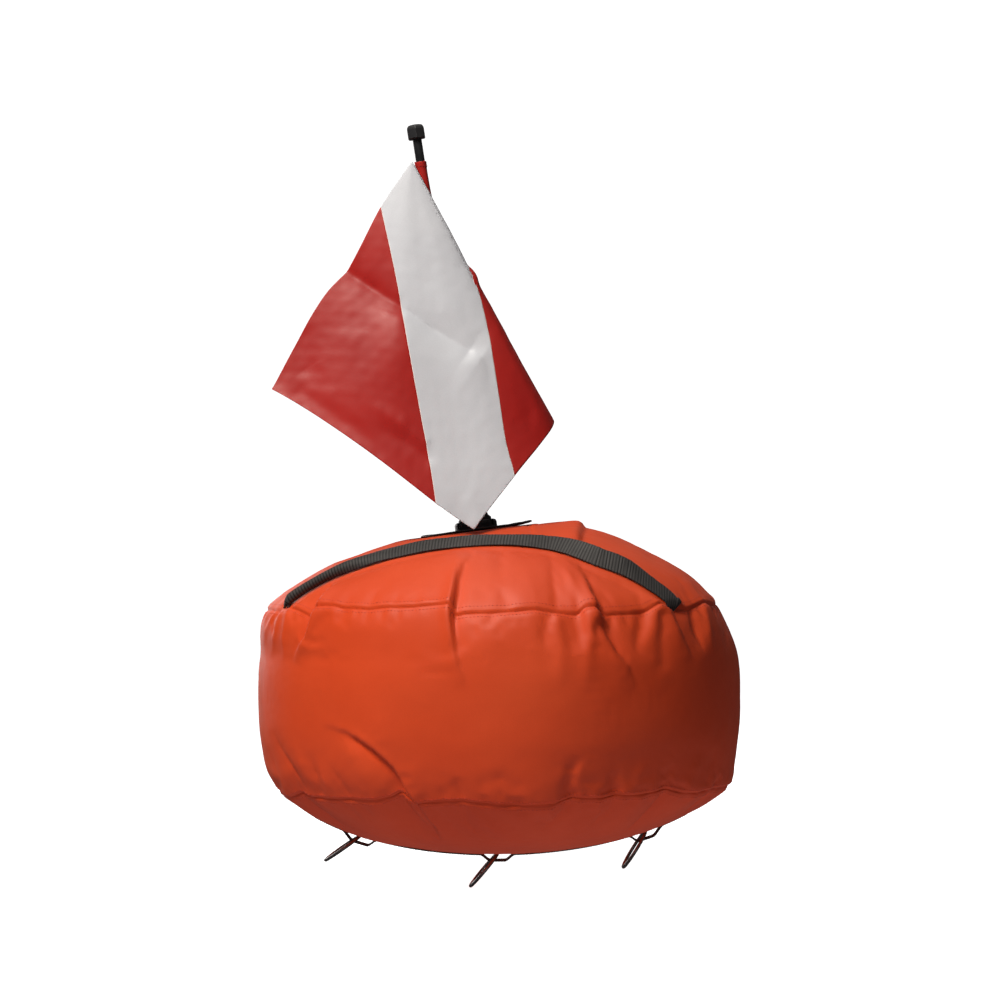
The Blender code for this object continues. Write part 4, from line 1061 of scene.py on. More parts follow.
# -------------------------------------------------------------------- bladder
def build_bladder():
    rows = [(0, u) for u in np.linspace(0, 1, 26)]
    rows += [(1, u) for u in np.linspace(0, 1, 22)[1:]] + [(2, u) for u in np.linspace(0, 1, 26)[1:]]
    na = 160
    base, normal, a = skin_grid(rows, na)
    centre = np.array([-0.004, 0.0, 0.252])
    p = centre + (base - centre) * np.array([0.925, 0.925, 0.93])
    wrinkle = Waves(71, 30, 2.5, 9.0, dims=2)
    # the film's gathers run up and down next to the weld round the middle
    arc = a * 1000 * 0.30
    gather = Waves(72, 24, 0.02, 0.06)(arc)
    weld = 0.245
    for i in range(len(rows)):
        near = np.exp(-((p[i, :, 2] - weld) / 0.030) ** 2)
        out = unit(p[i] - centre)
        h = wrinkle(p[i, :, 0] + 0.4 * p[i, :, 1], p[i, :, 2] + 0.6 * p[i, :, 1]) * 0.0012 + gather * 0.0016 * near
        h += 0.0030 * np.exp(-((p[i, :, 2] - weld) / 0.0022) ** 2) - 0.0030 * np.exp(-((p[i, :, 2] - weld) / 0.012) ** 2)
        p[i] += out * h[:, None]
    m = len(rows)
    verts = np.concatenate([p[1:-1].reshape(-1, 3), p[:1].mean(axis=1), p[-1:].mean(axis=1)])
    faces = grid_faces(m - 2, na, wrap=True)
    top, low = (m - 2) * na, (m - 2) * na + 1
    for j in range(na):
        k = (j + 1) % na
        faces.append([top, j, k])
        faces.append([(m - 3) * na + k, (m - 3) * na + j, low])
    obj = link("bladder_skin", verts, faces, FILM)
    outward_faces(obj)
    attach(obj, "float")
    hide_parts("bladder")
    return obj


# -------------------------------------------------------------------- webbing
RIB = 0.0044


def on_dome(x, y):
    """Surface points and normals of the top panel under x, y."""
    r, a = np.hypot(x - TOP_SHIFT, y), np.arctan2(y, x - TOP_SHIFT)
    top = R_SEAM - 1e-4
    for _ in range(30):
        p = dome(np.minimum(r, top), a)
        px, py = r * np.cos(a) + x - p[:, 0], r * np.sin(a) + y - p[:, 1]
        r, a = np.hypot(px, py), np.arctan2(py, px)
    r = np.minimum(r, top)
    p = dome(r, a)
    n = np.cross(p - dome(r - 1e-3, a), dome(r, a + 1e-3) - dome(r, a - 1e-3))
    return p, unit(n)


def webbing(name, centres, across, outward, width, thick, curl, rib=0.00042, seed=0, shape=None):
    """A woven strap along centres. across and outward are unit vectors, curl the half angle its edges bend by."""
    n = len(centres)
    s = np.concatenate([[0], np.cumsum(np.linalg.norm(np.diff(centres, axis=0), axis=1))])
    c = np.maximum(curl, 1e-3)[:, None]
    radius = width / 2 / c
    t = np.concatenate([[-1, -0.985, -0.95, -0.90], np.linspace(-0.84, 0.84, 11), [0.90, 0.95, 0.985, 1]])
    jitter = Waves(90 + seed, 12, 20.0, 90.0)(s) * 0.0006
    ribs = np.abs(np.cos(math.pi * (s + jitter) / RIB)) ** 0.55
    ribs = ribs[:, None]
    lip = np.exp(-(((1 - np.abs(t)) * width / 2) / 0.0011) ** 2)[None]
    edge = Waves(80 + seed, 14, 30.0, 120.0)(s)[:, None] * 0.00012
    ends = np.clip(1 - (np.abs(t) - 0.95) / 0.05, 0, 1)[None] ** 0.5
    relief = rib * (ribs - 0.5) * (1 - 0.45 * lip) + 0.00018 * lip
    half = thick / 2 * (0.35 + 0.65 * ends)
    parts = []
    for sign in (1, -1):
        h = sign * (half + relief * (1.0 if sign > 0 else 0.6))
        ang = t[None] * c * (1 + edge / 0.01)
        x = radius * np.sin(ang)
        y = radius * (np.cos(ang) - np.cos(c))
        pts = (
            centres[:, None] + across[:, None] * (x + np.sin(ang) * h)[..., None]
            + outward[:, None] * (y + np.cos(ang) * h)[..., None]
        )
        parts.append(pts if sign > 0 else pts[:, ::-1])
    verts = np.concatenate(parts, axis=1)
    k = verts.shape[1]
    u = np.concatenate([t, t[::-1]]) * width / 2
    uv = np.stack([np.repeat(s, k), np.tile(u, n)], axis=1)
    verts = verts.reshape(-1, 3)
    if shape is not None:
        verts = shape(verts)
    faces = grid_faces(n, k, wrap=True)
    # closed ends, in quads from face to face
    m = len(t)
    for row in (0, n - 1):
        for j in range(m - 1):
            a, b = row * k + j, row * k + j + 1
            d, e = row * k + (k - 1 - j), row * k + (k - 2 - j)
            faces.append([a, b, e, d] if row else [a, d, e, b])
    obj = link(name, verts, faces, WEBBING, uvs=uv)
    outward_faces(obj)
    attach(obj, "float")
    return obj


def build_handle(front):
    side = -1.0 if front else 1.0
    n = 1080
    x = np.linspace(-0.3035, 0.2640, n)
    per = n / 0.5675
    y = side * handle_plan(x)
    tangent = np.stack([np.ones(n), side * handle_slope(x), np.zeros(n)], axis=1)
    p, nrm = on_dome(x, y)
    past = (x > 0) & (np.hypot(x - TOP_SHIFT, y) > R_SEAM - 2e-4)
    p[past, 0], p[past, 1] = x[past], y[past]
    for c in range(3):
        nrm[:, c] = blur(nrm[:, c], 0.006 * per)
    nrm = unit(nrm)
    tangent = unit(tangent - nrm * (tangent * nrm).sum(axis=1, keepdims=True))
    out = np.cross(tangent, nrm)
    out *= np.sign(out[:, 1] * side)[:, None]
    level = np.degrees(np.arcsin(np.clip(-out[:, 2], -1, 1)))
    if front:
        keys = ((-0.305, 44), (-0.240, 36), (-0.180, 33), (-0.100, 31), (0.0, 28), (0.080, 38), (0.130, 56), (0.180, 57), (0.205, 46), (0.230, 41), (0.250, 38))
        bends = ((-0.305, 2.30), (-0.262, 2.50), (-0.238, 2.45), (-0.208, 1.50), (-0.165, 0.45), (-0.080, 0.10),
                 (0.060, 0.06), (0.200, 0.06), (0.270, 0.05))
    else:
        keys = ((-0.300, 50), (-0.200, 42), (-0.060, 27), (0.060, 30), (0.160, 46), (0.250, 55))
        bends = ((-0.300, 0.85), (-0.260, 0.35), (-0.200, 0.12), (0.180, 0.10), (0.230, 0.40), (0.258, 0.90))
    angle = np.maximum(np.interp(x, *zip(*keys)), level + 1.0)
    angle = blur(angle, 0.012 * per) + Waves(31 + front, 8, 4.0, 12.0)(x) * 1.6
    angle = np.maximum(angle, level)
    curl = blur(np.interp(x, *zip(*bends)), 0.010 * per)
    extra = np.radians(angle - level)
    w = out * np.cos(extra)[:, None] - nrm * np.sin(extra)[:, None]
    m = np.cross(w, tangent)
    m *= np.sign((m * nrm).sum(axis=1))[:, None]
    chord = STRAP_W / 2 * np.sin(curl) / np.maximum(curl, 1e-3)
    lift = chord * np.sin(extra) + STRAP_T / 2 + 0.0006
    centres = p + nrm * lift[:, None]
    need = np.zeros(n)
    for t in (-1.0, -0.5, 0.0, 0.5, 1.0):
        sag = STRAP_W / 2 / np.maximum(curl, 1e-3) * (np.cos(t * curl) - np.cos(curl))
        q = centres + w * (chord * t)[:, None] + m * (sag - STRAP_T / 2 - 0.0003)[:, None]
        s, sn = on_dome(q[:, 0], q[:, 1])
        inside = np.hypot(q[:, 0] - s[:, 0], q[:, 1] - s[:, 1]) < 1e-4
        need = np.maximum(need, np.where(inside, 0.0005 - ((q - s) * sn).sum(axis=1), 0))
    reach = int(0.006 * per)
    need = np.array([need[max(i - reach, 0):i + reach + 1].max() for i in range(n)])
    centres = centres + nrm * blur(need, 0.004 * per)[:, None]
    slack = Waves(35 + front, 6, 5.0, 14.0)(x) * 0.0005 + 0.0005
    centres += nrm * (slack * smooth((0.24 - np.abs(x + 0.02)) / 0.08))[:, None]

    def tuck(v):
        """What is past the seam bends down over the edge and then goes inside, into the seam."""
        if front:
            # the right end is cut along the seam, its rear edge the longer one
            across, along = (v - centres[-1]) @ w[-1], (v - centres[-1]) @ tangent[-1]
            v = v - tangent[-1] * (across * 0.42 * smooth((along + 0.036) / 0.030))[:, None]
        dx, dy = v[:, 0] - TOP_SHIFT, v[:, 1]
        rr = np.hypot(dx, dy)
        over = np.maximum(rr - (R_SEAM - 0.0012), 0)
        far = np.where(dx > 0, 0.0046, 0.0034)
        out = far * 0.46 * np.sin(np.clip(over / far, 0, 1) * math.pi / 2)
        into = np.where(dx > 0, np.minimum(np.maximum(over - far, 0) * 2.2, 0.007), np.maximum(over - far, 0) * 2.2)
        new = np.minimum(rr, R_SEAM - 0.0012) + out - into
        v = v.copy()
        v[:, 0], v[:, 1] = TOP_SHIFT + dx * new / rr, dy * new / rr
        v[:, 2] -= over * np.where(dx > 0, 1.25, 0.95)
        return v

    obj = webbing("handle_" + ("front" if front else "rear") + "_webbing", centres, w, m, STRAP_W, STRAP_T, curl,
                  seed=front, shape=tuck)
    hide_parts("handle_front" if front else "handle_rear")
    return obj


BELLY_LINE = belly(np.linspace(0, R_SEAM, 400), 0.0), belly(np.linspace(0, R_SEAM, 400), math.pi)


def strap_height(x):
    right, left = BELLY_LINE
    xs = np.concatenate([left[::-1, 0], right[1:, 0]])
    zs = np.concatenate([left[::-1, 2], right[1:, 2]])
    return np.interp(x, xs, zs) - GAP - 0.0003 - STRAP_LOOSE * np.maximum(0.0, 1 - (x / 0.19) ** 2)


def build_strap():
    n = 1050
    x = np.linspace(-0.270, 0.270, n)
    dip = np.zeros(n)
    for _, rx, _ in RINGS:
        dip = np.maximum(dip, smooth((0.026 - np.abs(x - rx)) / 0.016))
    sag = 0.0022 * np.maximum(0.0, 1 - (x / 0.16) ** 2) * (1 - dip)
    z = strap_height(x) - dip * (TUNNEL - GAP) - STRAP_T / 2 - sag
    sway = Waves(44, 5, 3.0, 9.0)(x) * 0.0005
    centres = np.stack([x, sway, z], axis=1)
    t = unit(np.gradient(centres, axis=0))
    across = np.tile([0.0, 1.0, 0.0], (n, 1))
    outward = np.cross(across, t)
    outward *= np.sign(-outward[:, 2])[:, None]
    obj = webbing("bottom_strap_webbing", centres, across, outward, STRAP_W, STRAP_T - 0.0002, np.full(n, 0.04), seed=5)
    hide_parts("bottom_strap")
    # sewn boxes beside each loop and at the ends
    runs = []
    spans = []
    for _, rx, _ in RINGS:
        spans += [(rx - 0.050, rx - 0.030), (rx + 0.030, rx + 0.050)]
    spans += [(-0.266, -0.262), (0.262, 0.266)]
    for x0, x1 in spans:
        x0, x1 = max(x0, -0.266), min(x1, 0.266)
        loops = [[(x0, -0.0115), (x0, 0.0115), (x1, 0.0115), (x1, -0.0115), (x0, -0.0115)]]
        if x1 - x0 > 0.01:
            loops += [[(x0, -0.0115), (x1, 0.0115)], [(x0, 0.0115), (x1, -0.0115)]]
        for loop in loops:
            line = []
            for (ax, ay), (bx, by) in zip(loop, loop[1:]):
                for k in range(20):
                    line.append((ax + (bx - ax) * k / 20, ay + (by - ay) * k / 20))
            line.append(loop[-1])
            line = np.array(line)
            zz = np.interp(line[:, 0], x, z) - STRAP_T / 2 - 0.00005
            tx = np.interp(line[:, 0], x, outward[:, 0])
            tz = np.interp(line[:, 0], x, outward[:, 2])
            pts = np.stack([line[:, 0] + 0 * tx, line[:, 1], zz], axis=1)
            runs.append(stitches(pts, np.stack([tx, 0 * tx, tz], axis=1), 0.0026, 0.0036, 0.00036))
    sew("strap_stitches", runs, BLACK_THREAD, "float")
    return obj


# ---------------------------------------------------------------------- rings
def build_rings():
    for name, x, lean in RINGS:
        pivot = Vector((x, 0.0, RING_PIVOT[name]))
        turn = Matrix.Rotation(math.radians(lean), 4, "Y")
        na, nb = 120, 20
        a, b = np.meshgrid(np.arange(na) * 2 * math.pi / na, np.arange(nb) * 2 * math.pi / nb, indexing="ij")
        weld = np.exp(-((np.mod(a - math.radians(55), 2 * math.pi)) / 0.05) ** 2) + np.exp(
            -((np.mod(a - math.radians(55), 2 * math.pi) - 2 * math.pi) / 0.05) ** 2
        )
        wire = RING_WIRE * (1 - 0.05 * weld)
        rad = RING_R + wire * np.cos(b)
        p = np.stack([wire * np.sin(b), rad * np.sin(a), -RING_R + rad * np.cos(a)], axis=-1).reshape(-1, 3)
        m = np.array(Matrix.Translation(pivot) @ turn)
        p = p @ m[:3, :3].T + m[:3, 3]
        faces = grid_faces(na, nb, wrap=True)
        for j in range(nb):
            k = (j + 1) % nb
            faces.append([(na - 1) * nb + j, j, k, (na - 1) * nb + k])
        obj = link(name + "_steel", p, faces, STEEL)
        outward_faces(obj)
        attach(obj, name)
        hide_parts(name)


RING_PIVOT = {"ring_left": 0.077238, "ring_center": 0.048659, "ring_right": 0.078063}


# ------------------------------------------------------------------ top patch
def build_patch():
    m = np.array(plate_matrix())
    na = 180
    radii = list(np.linspace(0.0, 0.045, 6)[1:]) + list(np.linspace(0.045, PATCH_R - 0.004, 16)[1:])
    wave = Waves(51, 7, 0.25, 0.9)
    a = np.arange(na) * 2 * math.pi / na
    turn = np.stack([np.cos(a), np.sin(a)], axis=1)
    w = wave(turn[:, 0] * 2.2 + turn[:, 1] * 3.1) * 0.6 + wave(turn[:, 0] * -2.7 + turn[:, 1] * 2.3 + 7.0) * 0.4
    right = np.exp(-((a - 2 * math.pi * (a > math.pi)) / 0.55) ** 2)

    def lift(r):
        f = smooth((r - 0.045) / (PATCH_R - 0.045))
        return f * (0.0007 + 0.0007 * w + 0.0022 * right)

    rim = 1 + 0.006 * wave(turn[:, 0] * 4 + 3.0)
    top, low = [], []
    for r in radii:
        groove = 0.0003 * (math.exp(-((r - 0.0735) / 0.0007) ** 2))
        top.append((r, PATCH_T - groove))
        low.append((r, 0.0))
    edge = [(PATCH_R - 0.0022, PATCH_T), (PATCH_R - 0.0009, PATCH_T - 0.0003), (PATCH_R - 0.0002, PATCH_T - 0.0011),
            (PATCH_R, PATCH_T / 2), (PATCH_R - 0.0003, 0.0006), (PATCH_R - 0.0012, 0.0)]
    profile = top + edge + low[::-1]
    rows = []
    for r, z in profile:
        rr = r * np.where(r > 0.05, rim, 1.0)
        rows.append(np.stack([rr * turn[:, 0], rr * turn[:, 1], GAP + z + lift(r)], axis=1))
    verts = np.concatenate(rows + [np.array([[0, 0, GAP + PATCH_T]]), np.array([[0, 0, GAP]])])
    k = len(profile)
    faces = grid_faces(k, na, wrap=True)
    for j in range(na):
        i = (j + 1) % na
        faces.append([k * na, j, i])
        faces.append([(k - 1) * na + i, (k - 1) * na + j, k * na + 1])
    verts = verts @ m[:3, :3].T + m[:3, 3]
    obj = link("patch_sheet", verts, faces, RUBBER)
    outward_faces(obj)
    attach(obj, "float")
    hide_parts("mast_patch")
    fine = np.arange(720) * 2 * math.pi / 720
    line_w = np.interp(fine, np.append(a, 2 * math.pi), np.append(lift(0.0735), lift(0.0735)[0]))
    rr = 0.0735
    pts = np.stack([rr * np.cos(fine), rr * np.sin(fine), GAP + PATCH_T - 0.0003 + line_w], axis=1)
    pts = pts @ m[:3, :3].T + m[:3, 3]
    nn = np.tile(m[:3, 2], (720, 1))
    sew("patch_stitches", [stitches(pts, nn, 0.0034, 0.0050, 0.0004, closed=True)], BLACK_THREAD, "float")
    return obj


# ------------------------------------------------------------------------ zip
def build_zip():
    a0, a1 = math.radians(32.5), math.radians(147.5)
    lo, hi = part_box("zip_chain")
    half = math.acos(min(1.0, max(hi[0], -lo[0]) / (ZIP_R + 0.0024)))
    a0, a1 = half, math.pi - half
    pitch = 0.0025
    count = int((a1 - a0) * ZIP_R / pitch)
    step = (a1 - a0) / count
    # one tooth: a rounded head that reaches past the middle and a leg on its tape
    outline = [(-0.0031, -0.42), (-0.0031, 0.42), (-0.0010, 0.46), (0.0006, 0.62), (0.0011, 0.40), (0.0012, 0.0),
               (0.0011, -0.40), (0.0006, -0.62), (-0.0010, -0.46)]
    verts, faces = [], []
    for side in (1, -1):
        for k in range(count):
            mid = a0 + (k + (0.5 if side > 0 else 1.0)) * step
            if mid > a1 - step * 0.3:
                continue
            first = len(verts)
            for r, shrink in ((0.0001, 1.0), (0.0016, 1.0), (0.0023, 0.80)):
                for z, w in outline:
                    ang = mid + w * shrink * pitch * 0.62 / ZIP_R
                    zz = ZIP_Z - side * (z if shrink == 1.0 else -0.0008 + (z + 0.0008) * 0.86)
                    verts.append(((ZIP_R + r) * math.cos(ang), (ZIP_R + r) * math.sin(ang), zz))
            m = len(outline)
            for lev in range(2):
                for j in range(m):
                    i = (j + 1) % m
                    p, q = first + lev * m, first + (lev + 1) * m
                    faces.append([p + j, p + i, q + i, q + j])
            faces.append([first + j for j in range(m)])
            faces.append([first + 2 * m + j for j in reversed(range(m))])
    obj = link("zip_teeth", np.array(verts), faces, ZIP_COIL)
    outward_faces(obj)
    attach(obj, "float")
    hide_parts("zip_chain")
    # the tapes' sewing
    runs = []
    ang = np.linspace(a0 - 0.006, a1 + 0.006, 900)
    for z in (-0.0122, -0.0070, 0.0070, 0.0122):
        r = ZIP_R + 0.0008
        pts = np.stack([r * np.cos(ang), r * np.sin(ang), np.full(900, ZIP_Z + z)], axis=1)
        nn = np.stack([np.cos(ang), np.sin(ang), 0 * ang], axis=1)
        runs.append(stitches(pts, nn, 0.0026, 0.0036, 0.00034))
    sew("zip_stitches", runs, THREAD, "float")


# ----------------------------------------------------------------- seam thread
def cover_line(panel, distance):
    """Points and normals of the finished cover along a line that far from a seam."""
    length = R_SEAM if panel in (0, 2) else BAND_H
    if panel == 0:
        want = 1 - distance / length
    elif panel == 1:
        want = distance / length if distance > 0 else 1 + distance / length
    else:
        want = distance / length
    rows = [(abs(u - want), i) for i, (q, u) in enumerate(COVER_ROWS) if q == panel]
    rows.sort()
    i, k = rows[0][1], rows[1][1]
    ui, uk = COVER_ROWS[i][1], COVER_ROWS[k][1]
    f = (want - ui) / (uk - ui) if abs(uk - ui) > 1e-9 else 0.0
    line = COVER_SHAPE[i] * (1 - f) + COVER_SHAPE[k] * f
    lo, hi = min(i, k), max(i, k)
    down = COVER_SHAPE[hi] - COVER_SHAPE[lo]
    along = np.roll(line, -1, axis=0) - np.roll(line, 1, axis=0)
    n = unit(np.cross(down, along))
    n *= np.sign((n * COVER_NORMAL[i]).sum(axis=1))[:, None]
    m = len(line)
    at = np.arange(m * 4) / 4.0
    return catmull(line, at, True), unit(catmull(n, at, True))


def build_seam_thread():
    runs = []
    for panel, distance in ((0, 0.0052), (1, 0.0052), (1, -0.0052), (2, 0.0052)):
        pts, nn = cover_line(panel, distance)
        runs.append(stitches(pts, nn, 0.0036, 0.0052, 0.00036, closed=True))
    sew("seam_stitches", runs, THREAD, "float")


# ----------------------------------------------------------------------- flag
FLAG_KEYS = np.array((
    (0.0, 7.9, 0.0), (12.0, 19.5, 0.6), (21.0, 26.4, 1.6), (25.5, 27.5, 4.3), (30.0, 25.2, 7.8),
    (38.0, 16.6, 11.6), (45.0, 8.7, 13.5), (60.0, -5.0, 15.8), (75.0, -18.4, 15.0), (90.0, -30.9, 12.8),
))
FLAG_APEX = np.array(mast_matrix() @ Vector((-0.0085, -0.0105, SLEEVE_TOP)))


def flag_direction(theta):
    t = np.clip(theta, 0.0, 90.0)
    keys = FLAG_KEYS
    x = keys[:, 0]
    i = np.clip(np.searchsorted(x, t, side="right") - 1, 0, len(x) - 2)
    h = x[i + 1] - x[i]
    s = (t - x[i]) / h
    out = []
    last = len(x) - 1
    for c in (1, 2):
        v = keys[:, c]
        slope = np.array([(v[min(j + 1, last)] - v[max(j - 1, 0)]) / (x[min(j + 1, last)] - x[max(j - 1, 0)]) for j in range(len(x))])
        out.append(
            (2 * s ** 3 - 3 * s ** 2 + 1) * v[i] + (s ** 3 - 2 * s ** 2 + s) * slope[i] * h
            + (-2 * s ** 3 + 3 * s ** 2) * v[i + 1] + (s ** 3 - s ** 2) * slope[i + 1] * h
        )
    phi, psi = np.radians(out[0]), np.radians(out[1])
    return np.stack([np.sin(phi) * np.cos(psi), -np.sin(psi), -np.cos(phi) * np.cos(psi)], axis=-1)


def flag_cone(u, v):
    """The cloth's surface and its face's normal over the flat cut: u along the top edge, v down the mast."""
    theta = np.degrees(np.arctan2(np.maximum(u, 1e-6), np.maximum(v, 1e-6)))
    rho = np.hypot(u, v)
    d = flag_direction(theta)
    e = 0.05
    n = unit(np.cross(flag_direction(np.minimum(theta + e, 90)) - flag_direction(np.maximum(theta - e, 0)), d))
    return FLAG_APEX + d * rho[:, None], n


# Where points of the cut are in the photograph's frame
FLAG_FIT = (
    (0.0, 0.0, (412.2, 160.8)), (FLAG_SIDE, 0.0, (272.0, 390.0)), (FLAG_SIDE, FLAG_SIDE, (474.0, 530.0)),
    (STRIPE, 0.0, (380.5, 207.0)), (0.1886, 0.0, (346.5, 270.0)), (0.2255, 0.0, (328.0, 289.5)),
    (FLAG_SIDE, FLAG_SIDE - STRIPE, (435.6, 504.0)), (FLAG_SIDE - STRIPE, FLAG_SIDE, (515.5, 475.0)),
    (0.2384, 0.1550, (407.5, 344.5)), (0.1864, 0.1030, (400.3, 298.0)), (0.1894, FLAG_SIDE, (553.7, 422.5)),
    (0.2315, FLAG_SIDE, (542.5, 441.0)), (0.1566, 0.2400, (490.3, 337.4)), (0.2366, 0.3200, (501.4, 411.8)),
    (0.0966, 0.1800, (476.6, 283.6)), (0.0748, 0.1569, (467.5, 266.0)), (0.1326, 0.2780, (512.6, 346.2)),
)


def fit_flag():
    """A smooth warp, in pixels over the cut, that brings the cloth's points to their places."""
    uv = np.array([(u, v) for u, v, _ in FLAG_FIT] + [(0.0, FLAG_SIDE), (0.0, 0.2), (0.06, FLAG_SIDE), (0.0, 0.1)])
    now = pixels(flag_cone(uv[:, 0], uv[:, 1])[0])
    want = now.copy()
    want[:len(FLAG_FIT)] = np.array([t for _, _, t in FLAG_FIT])
    d = np.hypot(uv[:, None, 0] - uv[None, :, 0], uv[:, None, 1] - uv[None, :, 1]) / FLAG_SIDE
    k = np.where(d > 0, d * d * np.log(np.maximum(d, 1e-9)), 0) + np.eye(len(uv)) * 0.004
    p = np.concatenate([np.ones((len(uv), 1)), uv / FLAG_SIDE], axis=1)
    full = np.block([[k, p], [p.T, np.zeros((3, 3))]])
    sol = np.linalg.solve(full, np.concatenate([want - now, np.zeros((3, 2))]))
    return uv, sol


FLAG_UV, FLAG_WARP = fit_flag()
FLAG_FOLDS = [
    # the crease across the flag
    ([(336, 264), (346, 270), (372, 287), (401, 305), (436, 328), (470, 349), (482, 357)],
     [-6.5, -7.5, -8.0, -8.0, -7.5, -5.5, 0], 17.0, "v", 1.2),
    ([(346, 268), (372, 285), (398, 302)], [-1.5, -2.2, -0.6], 6.0, "v", 0.8),
    ([(352, 292), (378, 304), (403, 313)], [0, -1.3, -1.0], 3.2, "v", 0.8),
    ([(401, 305), (436, 328), (470, 349)], [-1.5, -3.0, -2.5], 8.0, "v", 1.2),
    ([(398, 322), (397, 352), (390, 392)], [2.4, 2.8, 0], 19.0, "g", 1.0),
    ([(300, 338), (306, 368), (330, 396)], [-2.2, -3.0, 0], 15.0, "g", 1.0),
    ([(352, 340), (346, 368)], [1.4, 0], 14.0, "g", 1.0),
    # the turned-out lower left edge and the bands above it
    ([(258, 410), (320, 450), (380, 494), (426, 524)], [15.0, 14.0, 12.0, 6.0], 20.0, "g", 1.0),
    ([(366, 402), (400, 422), (424, 442)], [0, 2.4, 1.6], 8.0, "g", 1.0),
    ([(372, 424), (404, 440), (428, 458)], [0, -2.4, -1.6], 7.0, "g", 1.0),
    ([(300, 392), (346, 424), (392, 456)], [-1.5, -2.2, 0], 9.0, "g", 1.0),
    # the pinched dent on the stripe
    ([(464, 336), (477, 350), (485, 366), (490, 388)], [0, -1.6, -1.2, 0], 12.0, "s", 5.0),
    ([(452, 338), (466, 362), (474, 396)], [0, 1.4, 0], 12.0, "g", 1.0),
    ([(424, 286), (446, 306), (468, 318)], [0, 1.6, 0], 12.0, "g", 1.0),
    ([(440, 420), (462, 450), (470, 496)], [0, -1.4, 0], 16.0, "g", 1.0),
    ([(520, 372), (530, 410), (528, 440)], [0, -1.6, 0], 8.0, "g", 1.0),
    ([(470, 500), (478, 520)], [1.2, 1.8], 9.0, "g", 1.0),
]
FLAG_BROAD = Waves(77, 18, 3.0, 8.0, dims=2)
FLAG_SMALL = Waves(78, 26, 18.0, 60.0, dims=2)
CAM_RIGHT = np.array(CAM.matrix_world)[:3, 0]
CAM_UP = np.array(CAM.matrix_world)[:3, 1]


def flag_shape(u, v, bump=0.0):
    """Points and normals of the hanging cloth's middle layer over the cut."""
    p, n = flag_cone(u, v)
    d = np.hypot(u[:, None] - FLAG_UV[None, :, 0], v[:, None] - FLAG_UV[None, :, 1]) / FLAG_SIDE
    k = np.where(d > 0, d * d * np.log(np.maximum(d, 1e-9)), 0)
    shift = k @ FLAG_WARP[:-3] + np.stack([np.ones(len(u)), u / FLAG_SIDE, v / FLAG_SIDE], axis=1) @ FLAG_WARP[-3:]
    depth = -(p @ CAM_INVERSE[2, :3] + CAM_INVERSE[2, 3])
    p = p + (CAM_RIGHT * shift[:, :1] - CAM_UP * shift[:, 1:]) * (depth / FOCAL)[:, None]
    px = pixels(p)
    theta = np.degrees(np.arctan2(u, np.maximum(v, 1e-6)))
    front = smooth((theta - 24.0) / 6.0)
    h = np.zeros(len(u))
    for pts, amps, width, kind, core in FLAG_FOLDS:
        h += crease(px, pts, amps, width, kind, core)
    h = h * front * 0.001
    rho = np.hypot(u, v)
    h += (FLAG_BROAD(u, v) * 0.0012 + FLAG_SMALL(u, v) * 0.00012) * smooth(rho / 0.12) * smooth(u / 0.05)
    facing = n.copy()
    return p + facing * (h + bump)[:, None], facing


def cloth_slab(name, u, v, faces_mat, mats, offset, thick, extra=None):
    """A closed thin sheet over a grid of the cut's points (rows, cols)."""
    rows, cols = u.shape
    p, n = flag_shape(u.ravel(), v.ravel())
    if extra is not None:
        p = p + extra(u.ravel(), v.ravel(), p)
    grid = p.reshape(rows, cols, 3)
    # the true normal of the folded cloth, for an even thickness
    du = np.gradient(grid, axis=0)
    dv = np.gradient(grid, axis=1)
    m = np.cross(du, dv)
    m *= np.sign((m * n.reshape(rows, cols, 3)).sum(axis=2, keepdims=True))
    length = np.linalg.norm(m, axis=2, keepdims=True)
    m = np.where(length > 1e-12, m / np.maximum(length, 1e-12), n.reshape(rows, cols, 3))
    off = offset if np.ndim(offset) else np.full((rows, cols), offset)
    front = grid + m * (off + thick / 2)[..., None]
    back = grid + m * (off - thick / 2)[..., None]
    verts = np.concatenate([front.reshape(-1, 3), back.reshape(-1, 3)])
    k = rows * cols
    faces = grid_faces(rows, cols) + grid_faces(rows, cols, start=k, flip=True)
    mat_of = list(faces_mat) + list(faces_mat)
    rim = [i for i in range(cols)] + [r * cols + cols - 1 for r in range(1, rows)]
    rim += [(rows - 1) * cols + c for c in range(cols - 2, -1, -1)] + [r * cols for r in range(rows - 2, 0, -1)]
    for a, b in zip(rim, rim[1:] + rim[:1]):
        faces.append([a, b, b + k, a + k])
        mat_of.append(1 if len(mats) > 1 else 0)
    uv = np.concatenate([np.stack([u.ravel(), v.ravel()], axis=1)] * 2)
    obj = link(name, verts, faces, mats, uvs=uv, face_mats=mat_of)
    outward_faces(obj)
    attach(obj, "flag")
    return obj


